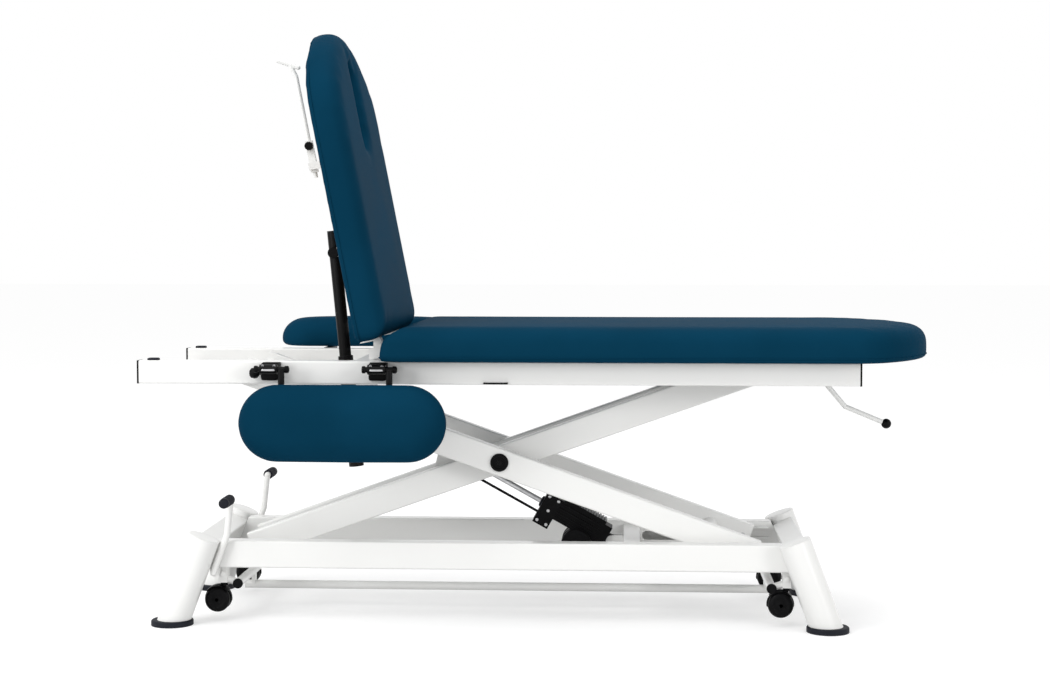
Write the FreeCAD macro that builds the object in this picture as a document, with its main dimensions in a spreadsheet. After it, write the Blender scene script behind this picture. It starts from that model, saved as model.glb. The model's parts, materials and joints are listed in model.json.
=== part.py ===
import FreeCAD, Part
import math
import os
import re
from types import SimpleNamespace

# Height-adjustable treatment table. Millimetres: X runs from the head to the foot end,
# Y away from the near side, Z up. The origin is on the floor below the scissor's middle.

os.makedirs("parts", exist_ok=True)
doc = FreeCAD.newDocument("TreatmentTable")
Vector = FreeCAD.Vector
AXIS_X = Vector(1, 0, 0)
AXIS_Y = Vector(0, 1, 0)
AXIS_Z = Vector(0, 0, 1)

sizes = {
    # scissor
    "half_arm": 582.4, "arm_angle": 19.5, "pivot_height": 157,
    "arm_depth": 60, "arm_width": 30, "arm_wall": 2.5, "arm_overhang": 18,
    "inner_arm_offset": 60, "outer_arm_offset": 120,
    "axle_radius": 10, "running_gap": 0.05, "sleeve_radius": 17, "brace_radius": 15,
    "brace_setback": 80, "hub_radius": 20, "hub_depth": 4, "hub_ring_radius": 12,
    # rollers and their tracks
    "roller_radius": 10, "roller_width": 12, "roller_pin_radius": 6,
    "track_wall": 3, "track_gap": 0.3, "track_depth": 17, "side_gap": 2,
    "base_track_start": 405, "base_track_end": 612,
    # upper frame
    "rail_half_length": 777, "rail_height": 50, "rail_width": 40, "rail_inside": 206,
    "rail_wall": 2.5, "pivot_below_top": 35.5, "end_cap": 4, "corner_radius": 4,
    "crosser_width": 40, "crosser_height": 34, "head_crosser_gap": 28,
    "low_crosser_height": 13, "low_crosser_rise": 10,
    "strut_crosser_x": -290, "track_crosser_x": 300, "foot_crosser_x": 642,
    "plate": 6, "pull_length": 49, "pull_radius": 2,
    # base
    "base_rail_height": 59.5, "base_rail_bottom": 122.5, "base_rail_inside": 155,
    "base_rail_width": 40, "leg_radius": 35, "leg_wall": 3, "leg_tilt": 20.5,
    "leg_foot_x": 713, "leg_length": 205, "leg_y": 215,
    "ring_radius": 46, "ring_height": 12, "end_beam_width": 50, "end_beam_height": 60,
    "base_crosser_x": 292, "base_crosser_width": 40, "base_crosser_height": 50,
    "window_start": 317, "window_end": 413, "window_height": 21,
    # seat
    "pad_half_width": 311, "seat_start": -239, "seat_length": 1187, "seat_thickness": 75,
    "end_bow_radius": 400, "end_corner_radius": 120, "hinge_corner_radius": 25,
    "seat_edge_radius": 30, "pad_lower_edge": 8, "pad_lift": 0.5,
    "board_thickness": 12, "board_inset": 25,
    # backrest
    "hinge_x": -265, "hinge_above_rail": 40.5, "back_lean": 79, "back_start": 3,
    "back_length": 690, "back_rear": 25, "back_front": 38, "back_lower_edge": 12,
    "hole_start": 426, "hole_length": 200, "hole_width": 100,
    "back_frame_depth": 14, "back_member_width": 20, "back_member_offset": 190,
    "back_frame_start": 22, "back_frame_end": 400, "lug_member_start": 196,
    "knuckle_offset": 153, "knuckle_radius": 10, "hinge_pin_radius": 5,
    # backrest strut
    "strut_pin_below": 208.8, "strut_pin_behind": 79.8, "strut_opening": 127.26,
    "strut_tube_radius": 17, "strut_rod_radius": 13.5, "strut_play": 0.3,
    "strut_tube_tail": 88, "strut_tube_reach": 165, "strut_rod_reach": 265,
    "strut_rod_top": 50, "strut_pin_radius": 6, "strut_plate_offset": 20,
    # paper holder
    "holder_along": 456, "holder_behind": 88.6, "holder_radius": 5, "holder_arm": 16,
    "holder_knob_radius": 9, "holder_knob_width": 12, "holder_wire_rise": 160,
    "holder_bend_rise": 28, "holder_bend_back": 8, "holder_left_run": 27.6,
    "holder_left_rise": 9.2, "holder_right_run": 18.4, "holder_right_drop": 6,
    # armrests
    "arm_pivot_y": 286, "arm_pivot_below": 15.5, "arm_pad_length": 444,
    "arm_pad_width": 166, "arm_pad_thickness": 70, "arm_pad_near": 29, "arm_pad_lift": 14,
    "arm_pad_edge": 26, "arm_centre_x": -338.5, "arm_post_spacing": 231,
    "arm_pad_shift": 18.5, "arm_post_radius": 7, "arm_post_length": 150,
    "arm_rod_radius": 6, "arm_rod_length": 62, "clamp_length": 38, "clamp_height": 38,
    "arm_knob_radius": 11, "arm_knob_stem": 9,
    # lift actuator
    "drive_x": 245, "drive_z": 160, "drive_end_x": -125, "drive_end_z": 366,
    "drive_pin_radius": 6, "drive_body_width": 56, "drive_body_start": 12,
    "drive_body_end": 178, "drive_body_top": 28, "drive_body_bottom": 20,
    "drive_head_length": 38, "drive_head_bottom": 46, "motor_radius": 33,
    "motor_along": 67, "motor_below": 41, "motor_width": 80, "drive_rod_radius": 6,
    "drive_rod_start": 70, "drive_bore_radius": 7, "drive_eye_radius": 12,
    "drive_eye_width": 20, "guide_rod_radius": 3, "guide_rod_below": 25,
    "guide_rod_length": 147, "guard_start": 30, "guard_length": 105,
    "guard_thickness": 7, "lug_gap": 28, "lug_plate": 4, "lug_radius": 20,
    "lug_brace_x": -140, "clevis_gap": 18,
    # caster gear
    "caster_left_x": -608, "caster_right_x": 628, "caster_y": 165, "caster_trail": 13,
    "wheel_radius": 28, "wheel_height": 49, "wheel_width": 18, "wheel_split": 8,
    "wheel_pin_radius": 4, "stem_radius": 5, "hood_radius": 30,
    "bracket_length": 18, "bracket_width": 24, "bracket_bottom": 86,
    "guide_pin_radius": 6, "guide_pin_length": 46, "bar_radius": 10,
    "bar_from_caster": 33, "bar_height": 85, "bar_cap": 4, "link_radius": 9.5,
    "link_height": 51, "drop_width": 20, "drop_plate": 8,
    "pedal_x": -623, "pedal_z": 113, "pedal_axle_radius": 5.5, "pedal_y": 208,
    "pedal_radius": 7, "pedal_knee_x": -592, "pedal_knee_z": 197, "pedal_top_x": -583,
    "pedal_top_z": 276, "grip_radius": 11, "grip_length": 64, "rail_clearance": 1,
    # foot-end lever
    "lever_x": 700, "lever_z_below": 26.5, "lever_radius": 5.5, "lever_cap_radius": 11,
    "lever_cap_length": 26, "lever_first_run": 32, "lever_first_drop": 43,
    "lever_second_run": 70, "lever_second_drop": 88, "lever_tip_run": 162,
    "lever_tip_drop": 126,
}

sheet = doc.addObject("Spreadsheet::Sheet", "Sizes")
for row, (alias, value) in enumerate(sizes.items(), start=1):
    sheet.set("A%d" % row, alias)
    sheet.set("B%d" % row, str(value))
    sheet.setAlias("B%d" % row, alias)
doc.recompute()
d = SimpleNamespace(**sizes)


def linked(text):
    """Point every size named in an expression at the spreadsheet."""
    return re.sub(r"[a-z][a-z_]+[a-z0-9_]*", lambda found: "Sizes." + found.group(0), text)


def bind(obj, **expressions):
    for prop, text in expressions.items():
        obj.setExpression(prop, linked(text))
    doc.recompute([obj])


def block(name, length, width, height, centre=Vector(), turn=FreeCAD.Rotation()):
    """A box about its centre: length along X, width along Y, height along Z."""
    box = doc.addObject("Part::Box", name)
    bind(box, Length=length, Width=width, Height=height)
    corner = Vector(box.Length.Value, box.Width.Value, box.Height.Value) * -0.5
    box.Placement = FreeCAD.Placement(centre + turn.multVec(corner), turn)
    return box


def rod(name, radius, length, start, direction):
    """A cylinder from start along direction."""
    cylinder = doc.addObject("Part::Cylinder", name)
    bind(cylinder, Radius=radius, Height=length)
    turn = FreeCAD.Rotation(AXIS_Z, direction)
    cylinder.Placement = FreeCAD.Placement(start, turn)
    return cylinder


def ball(name, radius, centre):
    sphere = doc.addObject("Part::Sphere", name)
    bind(sphere, Radius=radius)
    sphere.Placement = FreeCAD.Placement(centre, FreeCAD.Rotation())
    return sphere


def fuse(name, pieces):
    joined = doc.addObject("Part::MultiFuse", name)
    joined.Shapes = pieces
    doc.recompute([joined])
    return joined


def cut(name, base, tools):
    """Take the tools away from the base."""
    tool = tools[0] if len(tools) == 1 else fuse(name + "Tools", tools)
    difference = doc.addObject("Part::Cut", name)
    difference.Base = base
    difference.Tool = tool
    doc.recompute([difference])
    return difference


def group(name, pieces):
    """Separate solids that make one node."""
    compound = doc.addObject("Part::Compound", name)
    compound.Links = pieces
    doc.recompute([compound])
    return compound


def rounded(name, base, radius, wanted):
    """Round the edges whose middle, start and end pass the test."""
    fillet = doc.addObject("Part::Fillet", name)
    fillet.Base = base
    chosen = []
    for number, edge in enumerate(base.Shape.Edges, start=1):
        ends = [vertex.Point for vertex in edge.Vertexes]
        if wanted(edge, ends):
            chosen.append((number, radius, radius))
    fillet.Edges = chosen
    doc.recompute([fillet])
    return fillet


def put(obj, centre, turn=FreeCAD.Rotation()):
    obj.Placement = FreeCAD.Placement(centre, turn)
    doc.recompute([obj])
    return obj


def along_x(edge, ends):
    return len(ends) == 2 and abs((ends[1] - ends[0]).x) > 0.999 * edge.Length


def upright(edge, ends):
    return len(ends) == 2 and abs((ends[1] - ends[0]).z) > 0.999 * edge.Length


def tube(name, length, width, height, wall):
    """A hollow rectangular bar along X about the origin, with rounded corners."""
    outer = block(name + "Outer", length, width, height)
    soft = rounded(name + "Round", outer, d.corner_radius, along_x)
    inside = "%s - 2 * %s"
    core = block(name + "Core", length + " + 2 * corner_radius",
                 inside % (width, wall), inside % (height, wall))
    return cut(name, soft, [core])


def crosser(name, width, height, wall, half_span, centre):
    """A hollow bar along Y."""
    bar = tube(name, "2 * (%s)" % half_span, width, height, wall)
    return put(bar, centre, FreeCAD.Rotation(AXIS_Z, 90))


kept = []


def keep(obj, label):
    obj.Label = label
    kept.append(obj)
    return obj


def side(sign):
    return "near" if sign < 0 else "far"


# places worked out from the sizes
lean = math.radians(d.arm_angle)
reach = d.half_arm * math.cos(lean)
rise = d.half_arm * math.sin(lean)
base_pivot = Vector(-reach, 0, d.pivot_height)
centre_pivot = base_pivot + Vector(reach, 0, rise)
frame_pivot = base_pivot + Vector(0, 0, 2 * rise)
base_roller = base_pivot + Vector(2 * reach, 0, 0)
frame_roller = frame_pivot + Vector(2 * reach, 0, 0)
rail_top = frame_pivot.z + d.pivot_below_top
rail_middle = rail_top - d.rail_height / 2
crosser_middle = rail_top - d.crosser_height / 2
crosser_bottom = rail_top - d.crosser_height
low_crosser_middle = (rail_top - d.rail_height + d.low_crosser_rise
                      + d.low_crosser_height / 2)
arm_up = FreeCAD.Rotation(AXIS_Y, -d.arm_angle)
arm_down = FreeCAD.Rotation(AXIS_Y, d.arm_angle)
inner_line = arm_up.multVec(AXIS_X)
outer_line = arm_down.multVec(AXIS_X)


def shifted(point, y):
    return Vector(point.x, y, point.z)


# scissor arms
def arm_pair(name, offset, turn, ends, bores):
    """Two hollow arms with cross holes at their pivots."""
    pieces = []
    length = "2 * half_arm + 2 * arm_overhang"
    for sign in (-1, 1):
        place = shifted(centre_pivot, sign * offset)
        bar = put(tube("%s%s" % (name, side(sign)), length, "arm_width", "arm_depth",
                       "arm_wall"), place, turn)
        tools = []
        for number, (point, radius) in enumerate(zip(ends, bores)):
            tools.append(rod("%sBore%s%d" % (name, side(sign), number), radius,
                             "arm_width + 2 * side_gap",
                             shifted(point, sign * offset - d.arm_width / 2 - d.side_gap),
                             AXIS_Y))
        pieces.append(cut("%sCut%s" % (name, side(sign)), bar, tools))
    return pieces


def cross_tube(name, radius, half_span, centre, bore=None):
    """A round tube across the table between the arms."""
    start = shifted(centre, -half_span.numeric)
    bar = rod(name, radius, "2 * (%s)" % half_span.text, start, AXIS_Y)
    if bore is None:
        return bar
    hole = rod(name + "Bore", bore, "2 * (%s) + 2 * side_gap" % half_span.text,
               start - AXIS_Y * d.side_gap, AXIS_Y)
    return cut(name + "Hollow", bar, [hole])


inner_span = SimpleNamespace(text="inner_arm_offset - arm_width / 2",
                             numeric=d.inner_arm_offset - d.arm_width / 2)
outer_span = SimpleNamespace(text="outer_arm_offset - arm_width / 2",
                             numeric=d.outer_arm_offset - d.arm_width / 2)
loose_axle = "axle_radius + running_gap"
loose_pin = "roller_pin_radius + running_gap"

inner_arms = arm_pair("InnerArm", d.inner_arm_offset, arm_up,
                      (base_pivot, centre_pivot, frame_roller),
                      (loose_axle, loose_axle, "roller_pin_radius"))
keep(group("InnerArms", inner_arms), "inner_arms")
outer_arms = arm_pair("OuterArm", d.outer_arm_offset, arm_down,
                      (frame_pivot, centre_pivot, base_roller),
                      (loose_axle, "axle_radius", "roller_pin_radius"))
keep(group("OuterArms", outer_arms), "outer_arms")

# braces between the arms
lug_centre = base_pivot + inner_line * ((d.lug_brace_x - base_pivot.x) / inner_line.x)
top_brace = frame_roller - inner_line * d.brace_setback
low_brace = base_roller - outer_line * d.brace_setback
inner_braces = [
    cross_tube("InnerSleeve", "sleeve_radius", inner_span, base_pivot, loose_axle),
    cross_tube("LugBrace", "brace_radius", inner_span, lug_centre),
    cross_tube("TopBrace", "brace_radius", inner_span, top_brace),
]
keep(group("OuterBraces", [
    cross_tube("OuterSleeve", "sleeve_radius", outer_span, frame_pivot, loose_axle),
    cross_tube("LowBrace", "brace_radius", outer_span, low_brace),
]), "outer_arm_braces")

# lugs that the lift rod pushes on
drive_end = Vector(d.drive_end_x, 0, d.drive_end_z)
lug_line = drive_end - lug_centre
lug_turn = FreeCAD.Rotation(AXIS_X, lug_line)
lug_plates = []
for sign in (-1, 1):
    lug_y = sign * (d.lug_gap + d.lug_plate) / 2
    web = doc.addObject("Part::Box", "LugWeb%s" % side(sign))
    web.Length = lug_line.Length
    bind(web, Width="lug_plate", Height="2 * lug_radius")
    start = shifted(lug_centre, lug_y - d.lug_plate / 2) - lug_turn.multVec(AXIS_Z) * d.lug_radius
    web.Placement = FreeCAD.Placement(start, lug_turn)
    boss = rod("LugBoss%s" % side(sign), "lug_radius", "lug_plate",
               shifted(drive_end, lug_y - d.lug_plate / 2), AXIS_Y)
    bolt_start = lug_y + sign * d.lug_plate / 2
    bolt = rod("LugBolt%s" % side(sign), "drive_pin_radius + side_gap", "lug_plate",
               shifted(drive_end, bolt_start), AXIS_Y * sign)
    brace_hole = rod("LugHole%s" % side(sign), "brace_radius", "2 * lug_plate",
                     shifted(lug_centre, lug_y - d.lug_plate), AXIS_Y)
    plate = fuse("LugJoined%s" % side(sign), [web, boss, bolt])
    lug_plates.append(cut("Lug%s" % side(sign), plate, [brace_hole]))
keep(group("Lugs", lug_plates), "lift_lugs")

# stub pins through the scissor's middle, with round caps outside
hub_pieces = []
cap_pieces = []
for sign in (-1, 1):
    pin_start = d.inner_arm_offset - d.arm_width / 2
    pin_end = d.outer_arm_offset + d.arm_width / 2
    pin = rod("StubPin%s" % side(sign), "axle_radius",
              "outer_arm_offset - inner_arm_offset + arm_width",
              shifted(centre_pivot, sign * pin_start), AXIS_Y * sign)
    collar = rod("Collar%s" % side(sign), "brace_radius",
                 "outer_arm_offset - inner_arm_offset - arm_width - track_gap",
                 shifted(centre_pivot, sign * (d.inner_arm_offset + d.arm_width / 2
                                               + d.track_gap)), AXIS_Y * sign)
    hub_pieces.append(fuse("Stub%s" % side(sign), [pin, collar]))
    cap = rod("HubCap%s" % side(sign), "hub_radius", "hub_depth",
              shifted(centre_pivot, sign * pin_end), AXIS_Y * sign)
    dish = rod("HubDish%s" % side(sign), "hub_ring_radius", "hub_depth",
               shifted(centre_pivot, sign * (pin_end + d.hub_depth / 2)), AXIS_Y * sign)
    cap_pieces.append(cut("Hub%s" % side(sign), cap, [dish]))
keep(group("HubCaps", cap_pieces), "centre_caps")


# rollers on stub pins, running in C-shaped tracks
def roller_set(name, centre, arm_offset, roller_label):
    """Keep the rollers and return the pins, which belong to the arms."""
    pins = []
    rollers = []
    face = arm_offset + d.arm_width / 2
    for sign in (-1, 1):
        pins.append(rod("%sPin%s" % (name, side(sign)), "roller_pin_radius",
                        "arm_width + side_gap + roller_width + track_gap",
                        shifted(centre, sign * (arm_offset - d.arm_width / 2)),
                        AXIS_Y * sign))
        start = shifted(centre, sign * (face + d.side_gap))
        tyre = rod("%sTyre%s" % (name, side(sign)), "roller_radius", "roller_width",
                   start, AXIS_Y * sign)
        bore = rod("%sBore%s" % (name, side(sign)), loose_pin, "roller_width", start,
                   AXIS_Y * sign)
        rollers.append(cut("%sRoller%s" % (name, side(sign)), tyre, [bore]))
    keep(group(name + "Rollers", rollers), roller_label)
    return pins


base_pins = roller_set("Base", base_roller, d.outer_arm_offset, "base_rollers")
frame_pins = roller_set("Frame", frame_roller, d.inner_arm_offset, "frame_rollers")
keep(group("OuterPins", hub_pieces + base_pins), "outer_arm_pins")
keep(group("InnerBraces", inner_braces + frame_pins), "inner_arm_braces")


def track_pair(name, start_x, end_x, centre_z, arm_offset, label):
    """C-shaped tracks outside the arms, open towards them."""
    pieces = []
    length = end_x - start_x
    inner_face = arm_offset + d.arm_width / 2 + d.side_gap
    for sign in (-1, 1):
        middle = Vector((start_x + end_x) / 2, sign * (inner_face + d.track_depth / 2), centre_z)
        shell = block("%s%s" % (name, side(sign)), "base_track_end - base_track_start",
                      "track_depth", "2 * (roller_radius + track_gap + track_wall)", middle)
        channel = block("%sChannel%s" % (name, side(sign)),
                        "base_track_end - base_track_start", "track_depth",
                        "2 * (roller_radius + track_gap)",
                        middle - AXIS_Y * sign * d.track_wall)
        for piece in (shell, channel):
            piece.setExpression("Length", None)
            piece.Length = length
            piece.Placement.Base.x = start_x
        pieces.append(cut("%sTrack%s" % (name, side(sign)), shell, [channel]))
    keep(group(name + "Tracks", pieces), label)


track_pair("Base", d.base_track_start, d.base_track_end, d.pivot_height,
           d.outer_arm_offset, "base_tracks")
track_pair("Frame", d.track_crosser_x + d.crosser_width / 2,
           d.foot_crosser_x - d.crosser_width / 2, frame_pivot.z, d.inner_arm_offset,
           "frame_tracks")

# pivot axles at the head end
base_axle_span = SimpleNamespace(text="base_rail_inside", numeric=d.base_rail_inside)
keep(cross_tube("BaseAxle", "axle_radius", base_axle_span, base_pivot), "base_pivot_axle")
plate_y = d.outer_arm_offset + d.arm_width / 2 + d.side_gap
axle_half = plate_y + d.plate + d.side_gap
frame_axle_span = SimpleNamespace(
    text="outer_arm_offset + arm_width / 2 + 2 * side_gap + plate", numeric=axle_half)
frame_axle = cross_tube("FrameAxle", "axle_radius", frame_axle_span, frame_pivot)

# legs, their rings and the end beams between them
tilt = math.radians(d.leg_tilt)
leg_ends = []
for end in (-1, 1):
    leg_ends.append((end, Vector(-end * math.sin(tilt), 0, math.cos(tilt))))


def leg_cylinder(name, radius, end, direction, sign, extra=0):
    """A leg's cylinder, long enough to be cut level with the floor."""
    foot = Vector(end * d.leg_foot_x, sign * d.leg_y, 0)
    below = d.leg_radius + extra
    cylinder = rod(name, radius, "leg_length + leg_radius + %g" % extra,
                   foot - direction * below, direction)
    return cylinder


def legs_and_rings():
    legs = []
    rings = []
    for end, direction in leg_ends:
        for sign in (-1, 1):
            tag = "%s%s" % (side(sign), "Left" if end < 0 else "Right")
            outer = leg_cylinder("Leg" + tag, "leg_radius", end, direction, sign)
            inner = leg_cylinder("LegCore" + tag, "leg_radius - leg_wall", end, direction,
                                 sign)
            inner.setExpression("Height", linked("leg_length + leg_radius - leg_wall"))
            doc.recompute([inner])
            foot = Vector(end * d.leg_foot_x, sign * d.leg_y, 0)
            floor = block("LegFloor" + tag, "4 * leg_radius", "4 * leg_radius",
                          "4 * leg_radius", foot + AXIS_Z * (d.ring_height - 2 * d.leg_radius))
            legs.append(cut("LegTube" + tag, outer, [inner, floor]))
            ring = rod("Ring" + tag, "ring_radius", "ring_height", foot, AXIS_Z)
            rings.append(rounded("RingSoft" + tag, ring, d.ring_height / 3,
                                 lambda edge, ends: edge.Curve.TypeId == "Part::GeomCircle"
                                 and ends[0].z > d.ring_height / 2))
    keep(group("Legs", legs), "legs")
    keep(group("Rings", rings), "foot_rings")


legs_and_rings()
base_rail_middle = d.base_rail_bottom + d.base_rail_height / 2
beam_x = d.leg_foot_x - base_rail_middle * math.tan(tilt)


def end_beams():
    beams = []
    for end, direction in leg_ends:
        tag = "Left" if end < 0 else "Right"
        turn = FreeCAD.Rotation(AXIS_Y, -end * d.leg_tilt)
        bar = tube("EndBeam" + tag, "2 * leg_y", "end_beam_width", "end_beam_height",
                   "rail_wall")
        put(bar, Vector(end * beam_x, 0, base_rail_middle),
            turn.multiply(FreeCAD.Rotation(AXIS_Z, 90)))
        saddles = [leg_cylinder("Saddle%s%s" % (tag, side(sign)), "leg_radius", end,
                                direction, sign, d.leg_radius) for sign in (-1, 1)]
        guide_x = d.caster_left_x if end < 0 else d.caster_right_x
        for sign in (-1, 1):
            saddles.append(rod("BeamRelief%s%s" % (tag, side(sign)),
                               "guide_pin_radius + side_gap / 2", "base_rail_height",
                               Vector(guide_x, sign * d.caster_y, d.base_rail_bottom - d.plate),
                               AXIS_Z))
        beams.append(cut("EndBeamCut" + tag, bar, saddles))
    keep(group("EndBeams", beams), "end_beams")


end_beams()

# base rails, cut to the sloping end beams and round legs, with holes for the guide pins
rail_y = d.base_rail_inside + d.base_rail_width / 2


def base_rail(sign):
    tag = side(sign)
    bar = tube("BaseRail" + tag, "2 * leg_foot_x", "base_rail_width", "base_rail_height",
               "rail_wall")
    put(bar, Vector(0, sign * rail_y, base_rail_middle))
    tools = []
    for end, direction in leg_ends:
        name = "%s%d" % (tag, end)
        turn = FreeCAD.Rotation(AXIS_Y, -end * d.leg_tilt)
        tools.append(block("RailEnd" + name, "2 * leg_foot_x", "2 * base_rail_width",
                           "4 * base_rail_height",
                           Vector(end * beam_x, sign * rail_y, base_rail_middle)
                           + turn.multVec(AXIS_X) * end * (d.leg_foot_x - d.end_beam_width / 2),
                           turn))
        tools.append(leg_cylinder("RailSaddle" + name, "leg_radius", end, direction, sign,
                                  d.leg_radius))
        guide_x = d.caster_left_x if end < 0 else d.caster_right_x
        tools.append(rod("GuideHole" + name, "guide_pin_radius + running_gap",
                         "base_rail_height / 2",
                         Vector(guide_x, sign * d.caster_y, d.base_rail_bottom - d.plate),
                         AXIS_Z))
    if sign > 0:
        window_x = (d.window_start + d.window_end) / 2
        window_z = base_rail_middle - d.side_gap * 3
        straight = block("Window", "window_end - window_start - window_height",
                         "base_rail_width / 2", "window_height",
                         Vector(window_x, d.base_rail_inside, window_z))
        tools.append(straight)
        for end in (-1, 1):
            round_x = window_x + end * (d.window_end - d.window_start - d.window_height) / 2
            tools.append(rod("WindowEnd%d" % end, "window_height / 2", "base_rail_width / 2",
                             Vector(round_x, d.base_rail_inside - d.base_rail_width / 4,
                                    window_z), AXIS_Y))
    keep(cut("BaseRailCut" + tag, bar, tools), "base_rail_" + tag)


for sign in (-1, 1):
    base_rail(sign)

# cross beam with the clevis that carries the actuator
drive = Vector(d.drive_x, 0, d.drive_z)
beam_z = d.base_rail_bottom + d.base_crosser_height / 2
base_beam = crosser("BaseBeam", "base_crosser_width", "base_crosser_height", "rail_wall",
                    "base_rail_inside", Vector(d.base_crosser_x, 0, beam_z))
clevis = []
for sign in (-1, 1):
    clevis_x = d.base_crosser_x - d.base_crosser_width / 2
    arm = doc.addObject("Part::Box", "Clevis%s" % side(sign))
    arm.Length = clevis_x - drive.x
    bind(arm, Width="plate", Height="4 * drive_pin_radius")
    clevis_y = sign * (d.clevis_gap + d.plate) / 2
    arm.Placement.Base = Vector(drive.x, clevis_y - d.plate / 2,
                                drive.z - 2 * d.drive_pin_radius)
    eye = rod("ClevisEye%s" % side(sign), "2 * drive_pin_radius", "plate",
              shifted(drive, clevis_y - d.plate / 2), AXIS_Y)
    clevis.extend([arm, eye])
clevis_pin = rod("ClevisPin", "drive_pin_radius", "clevis_gap + 2 * plate",
                 shifted(drive, -d.clevis_gap / 2 - d.plate), AXIS_Y)
keep(fuse("BaseCrossBeam", [base_beam] + clevis + [clevis_pin]), "base_cross_beam")


# upper frame
def upper_frame():
    for sign in (-1, 1):
        bar = tube("Rail" + side(sign), "2 * rail_half_length - 2 * end_cap", "rail_width",
                   "rail_height", "rail_wall")
        put(bar, Vector(0, sign * (d.rail_inside + d.rail_width / 2), rail_middle))
        keep(bar, "frame_rail_" + side(sign))
    caps = []
    for end in (-1, 1):
        for sign in (-1, 1):
            centre = Vector(end * (d.rail_half_length - d.end_cap / 2),
                            sign * (d.rail_inside + d.rail_width / 2), rail_middle)
            caps.append(block("RailCap%d%s" % (end, side(sign)), "end_cap", "rail_width",
                              "rail_height", centre))
    for sign in (-1, 1):
        foot = Vector(-d.rail_half_length + 8 * d.end_cap,
                      sign * (d.rail_inside + d.rail_width / 2), rail_top)
        caps.append(rod("Stop" + side(sign), "3 * end_cap", "end_cap", foot, AXIS_Z))
    keep(group("RailCaps", caps), "frame_rail_caps")
    end_x = d.rail_half_length - d.crosser_width / 2
    head_x = frame_pivot.x - d.crosser_width / 2 - d.head_crosser_gap
    bars = []
    for number, place in enumerate((-end_x, head_x, d.strut_crosser_x, d.track_crosser_x,
                                    d.foot_crosser_x, end_x)):
        low = place < d.strut_crosser_x
        height = "low_crosser_height" if low else "crosser_height"
        middle = low_crosser_middle if low else crosser_middle
        bars.append(crosser("Crosser%d" % number, "crosser_width", height,
                            "rail_wall", "rail_inside", Vector(place, 0, middle)))
    keep(group("Crossers", bars), "frame_crossers")
    return head_x + d.crosser_width / 2


head_face = upper_frame()

# plates that carry the frame pivot axle
pivot_plates = []
for sign in (-1, 1):
    plate = doc.addObject("Part::Box", "PivotPlate%s" % side(sign))
    plate.Length = frame_pivot.x - head_face
    bind(plate, Width="plate", Height="crosser_height")
    plate_start = sign * (plate_y + d.plate / 2) - d.plate / 2
    plate.Placement.Base = Vector(head_face, plate_start, frame_pivot.z - d.crosser_height / 2)
    eye = rod("PivotEye%s" % side(sign), "crosser_height / 2", "plate",
              shifted(frame_pivot, plate_start), AXIS_Y)
    bore = rod("PivotBore%s" % side(sign), "axle_radius", "3 * plate",
               shifted(frame_pivot, plate_start - d.plate), AXIS_Y)
    joined = fuse("PivotJoined%s" % side(sign), [plate, eye])
    pivot_plates.append(cut("PivotEnd%s" % side(sign), joined, [bore]))

pull_x = d.pull_length / 2
pull_z = rail_middle - d.rail_height / 2 + d.pull_radius + d.side_gap
pull_y = -d.rail_inside - d.rail_width
pull_out = 4 * d.pull_radius
pull = [rod("PullBar", "pull_radius", "pull_length", Vector(-pull_x, pull_y - pull_out, pull_z),
            AXIS_X)]
for end in (-1, 1):
    pull.append(rod("PullLeg%d" % end, "pull_radius", "4 * pull_radius",
                    Vector(end * pull_x, pull_y, pull_z), -AXIS_Y))
    pull.append(ball("PullKnee%d" % end, "pull_radius",
                     Vector(end * pull_x, pull_y - pull_out, pull_z)))
keep(fuse("RailPull", pull), "rail_pull")


# pads
def bowed_pad(name, length, thickness, top_radius, lower_radius, numbers):
    """A pad from x = 0 to its length, straight at x = 0 and bowed at the other end."""
    slab = block(name + "Slab", length, "2 * pad_half_width", thickness,
                 Vector(numbers.length / 2, 0, numbers.thickness / 2))
    bow = rod(name + "Bow", "end_bow_radius", thickness,
              Vector(numbers.length - d.end_bow_radius, 0, 0), AXIS_Z)
    straight = block(name + "Straight", length + " - end_bow_radius", "2 * pad_half_width",
                     thickness, Vector((numbers.length - d.end_bow_radius) / 2, 0,
                                       numbers.thickness / 2))
    plan = fuse(name + "Plan", [bow, straight])
    shape = doc.addObject("Part::Common", name + "Common")
    shape.Base = slab
    shape.Tool = plan
    doc.recompute([shape])
    middle = numbers.length / 2
    far = rounded(name + "Far", shape, d.end_corner_radius,
                  lambda edge, ends: upright(edge, ends) and ends[0].x > middle)
    near = rounded(name + "Near", far, d.hinge_corner_radius,
                   lambda edge, ends: upright(edge, ends) and ends[0].x < 1)
    top = rounded(name + "Top", near, top_radius,
                  lambda edge, ends: all(abs(p.z - numbers.thickness) < 0.01 for p in ends))
    return rounded(name + "Under", top, lower_radius,
                   lambda edge, ends: all(abs(p.z) < 0.01 for p in ends))


def pad_board(name, length, numbers):
    """The board set into a pad's underside."""
    inset = d.board_inset
    flat = "%s - 4 * board_inset - end_corner_radius" % length
    flat_length = numbers.length - 4 * inset - d.end_corner_radius
    return block(name, flat, "2 * pad_half_width - 4 * board_inset", "board_thickness",
                 Vector(2 * inset + flat_length / 2, 0, d.board_thickness / 2))


def stadium(name, length, width, depth, centre, numbers):
    """A long round-ended prism along Z, used for openings and armrests."""
    middle = block(name + "Middle", "%s - %s" % (length, width), width, depth, centre)
    pieces = [middle]
    for end in (-1, 1):
        start = centre + Vector(end * (numbers.length - numbers.width) / 2, 0,
                                -numbers.depth / 2)
        pieces.append(rod("%sEnd%d" % (name, end), "(%s) / 2" % width, depth, start, AXIS_Z))
    return fuse(name, pieces)


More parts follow.
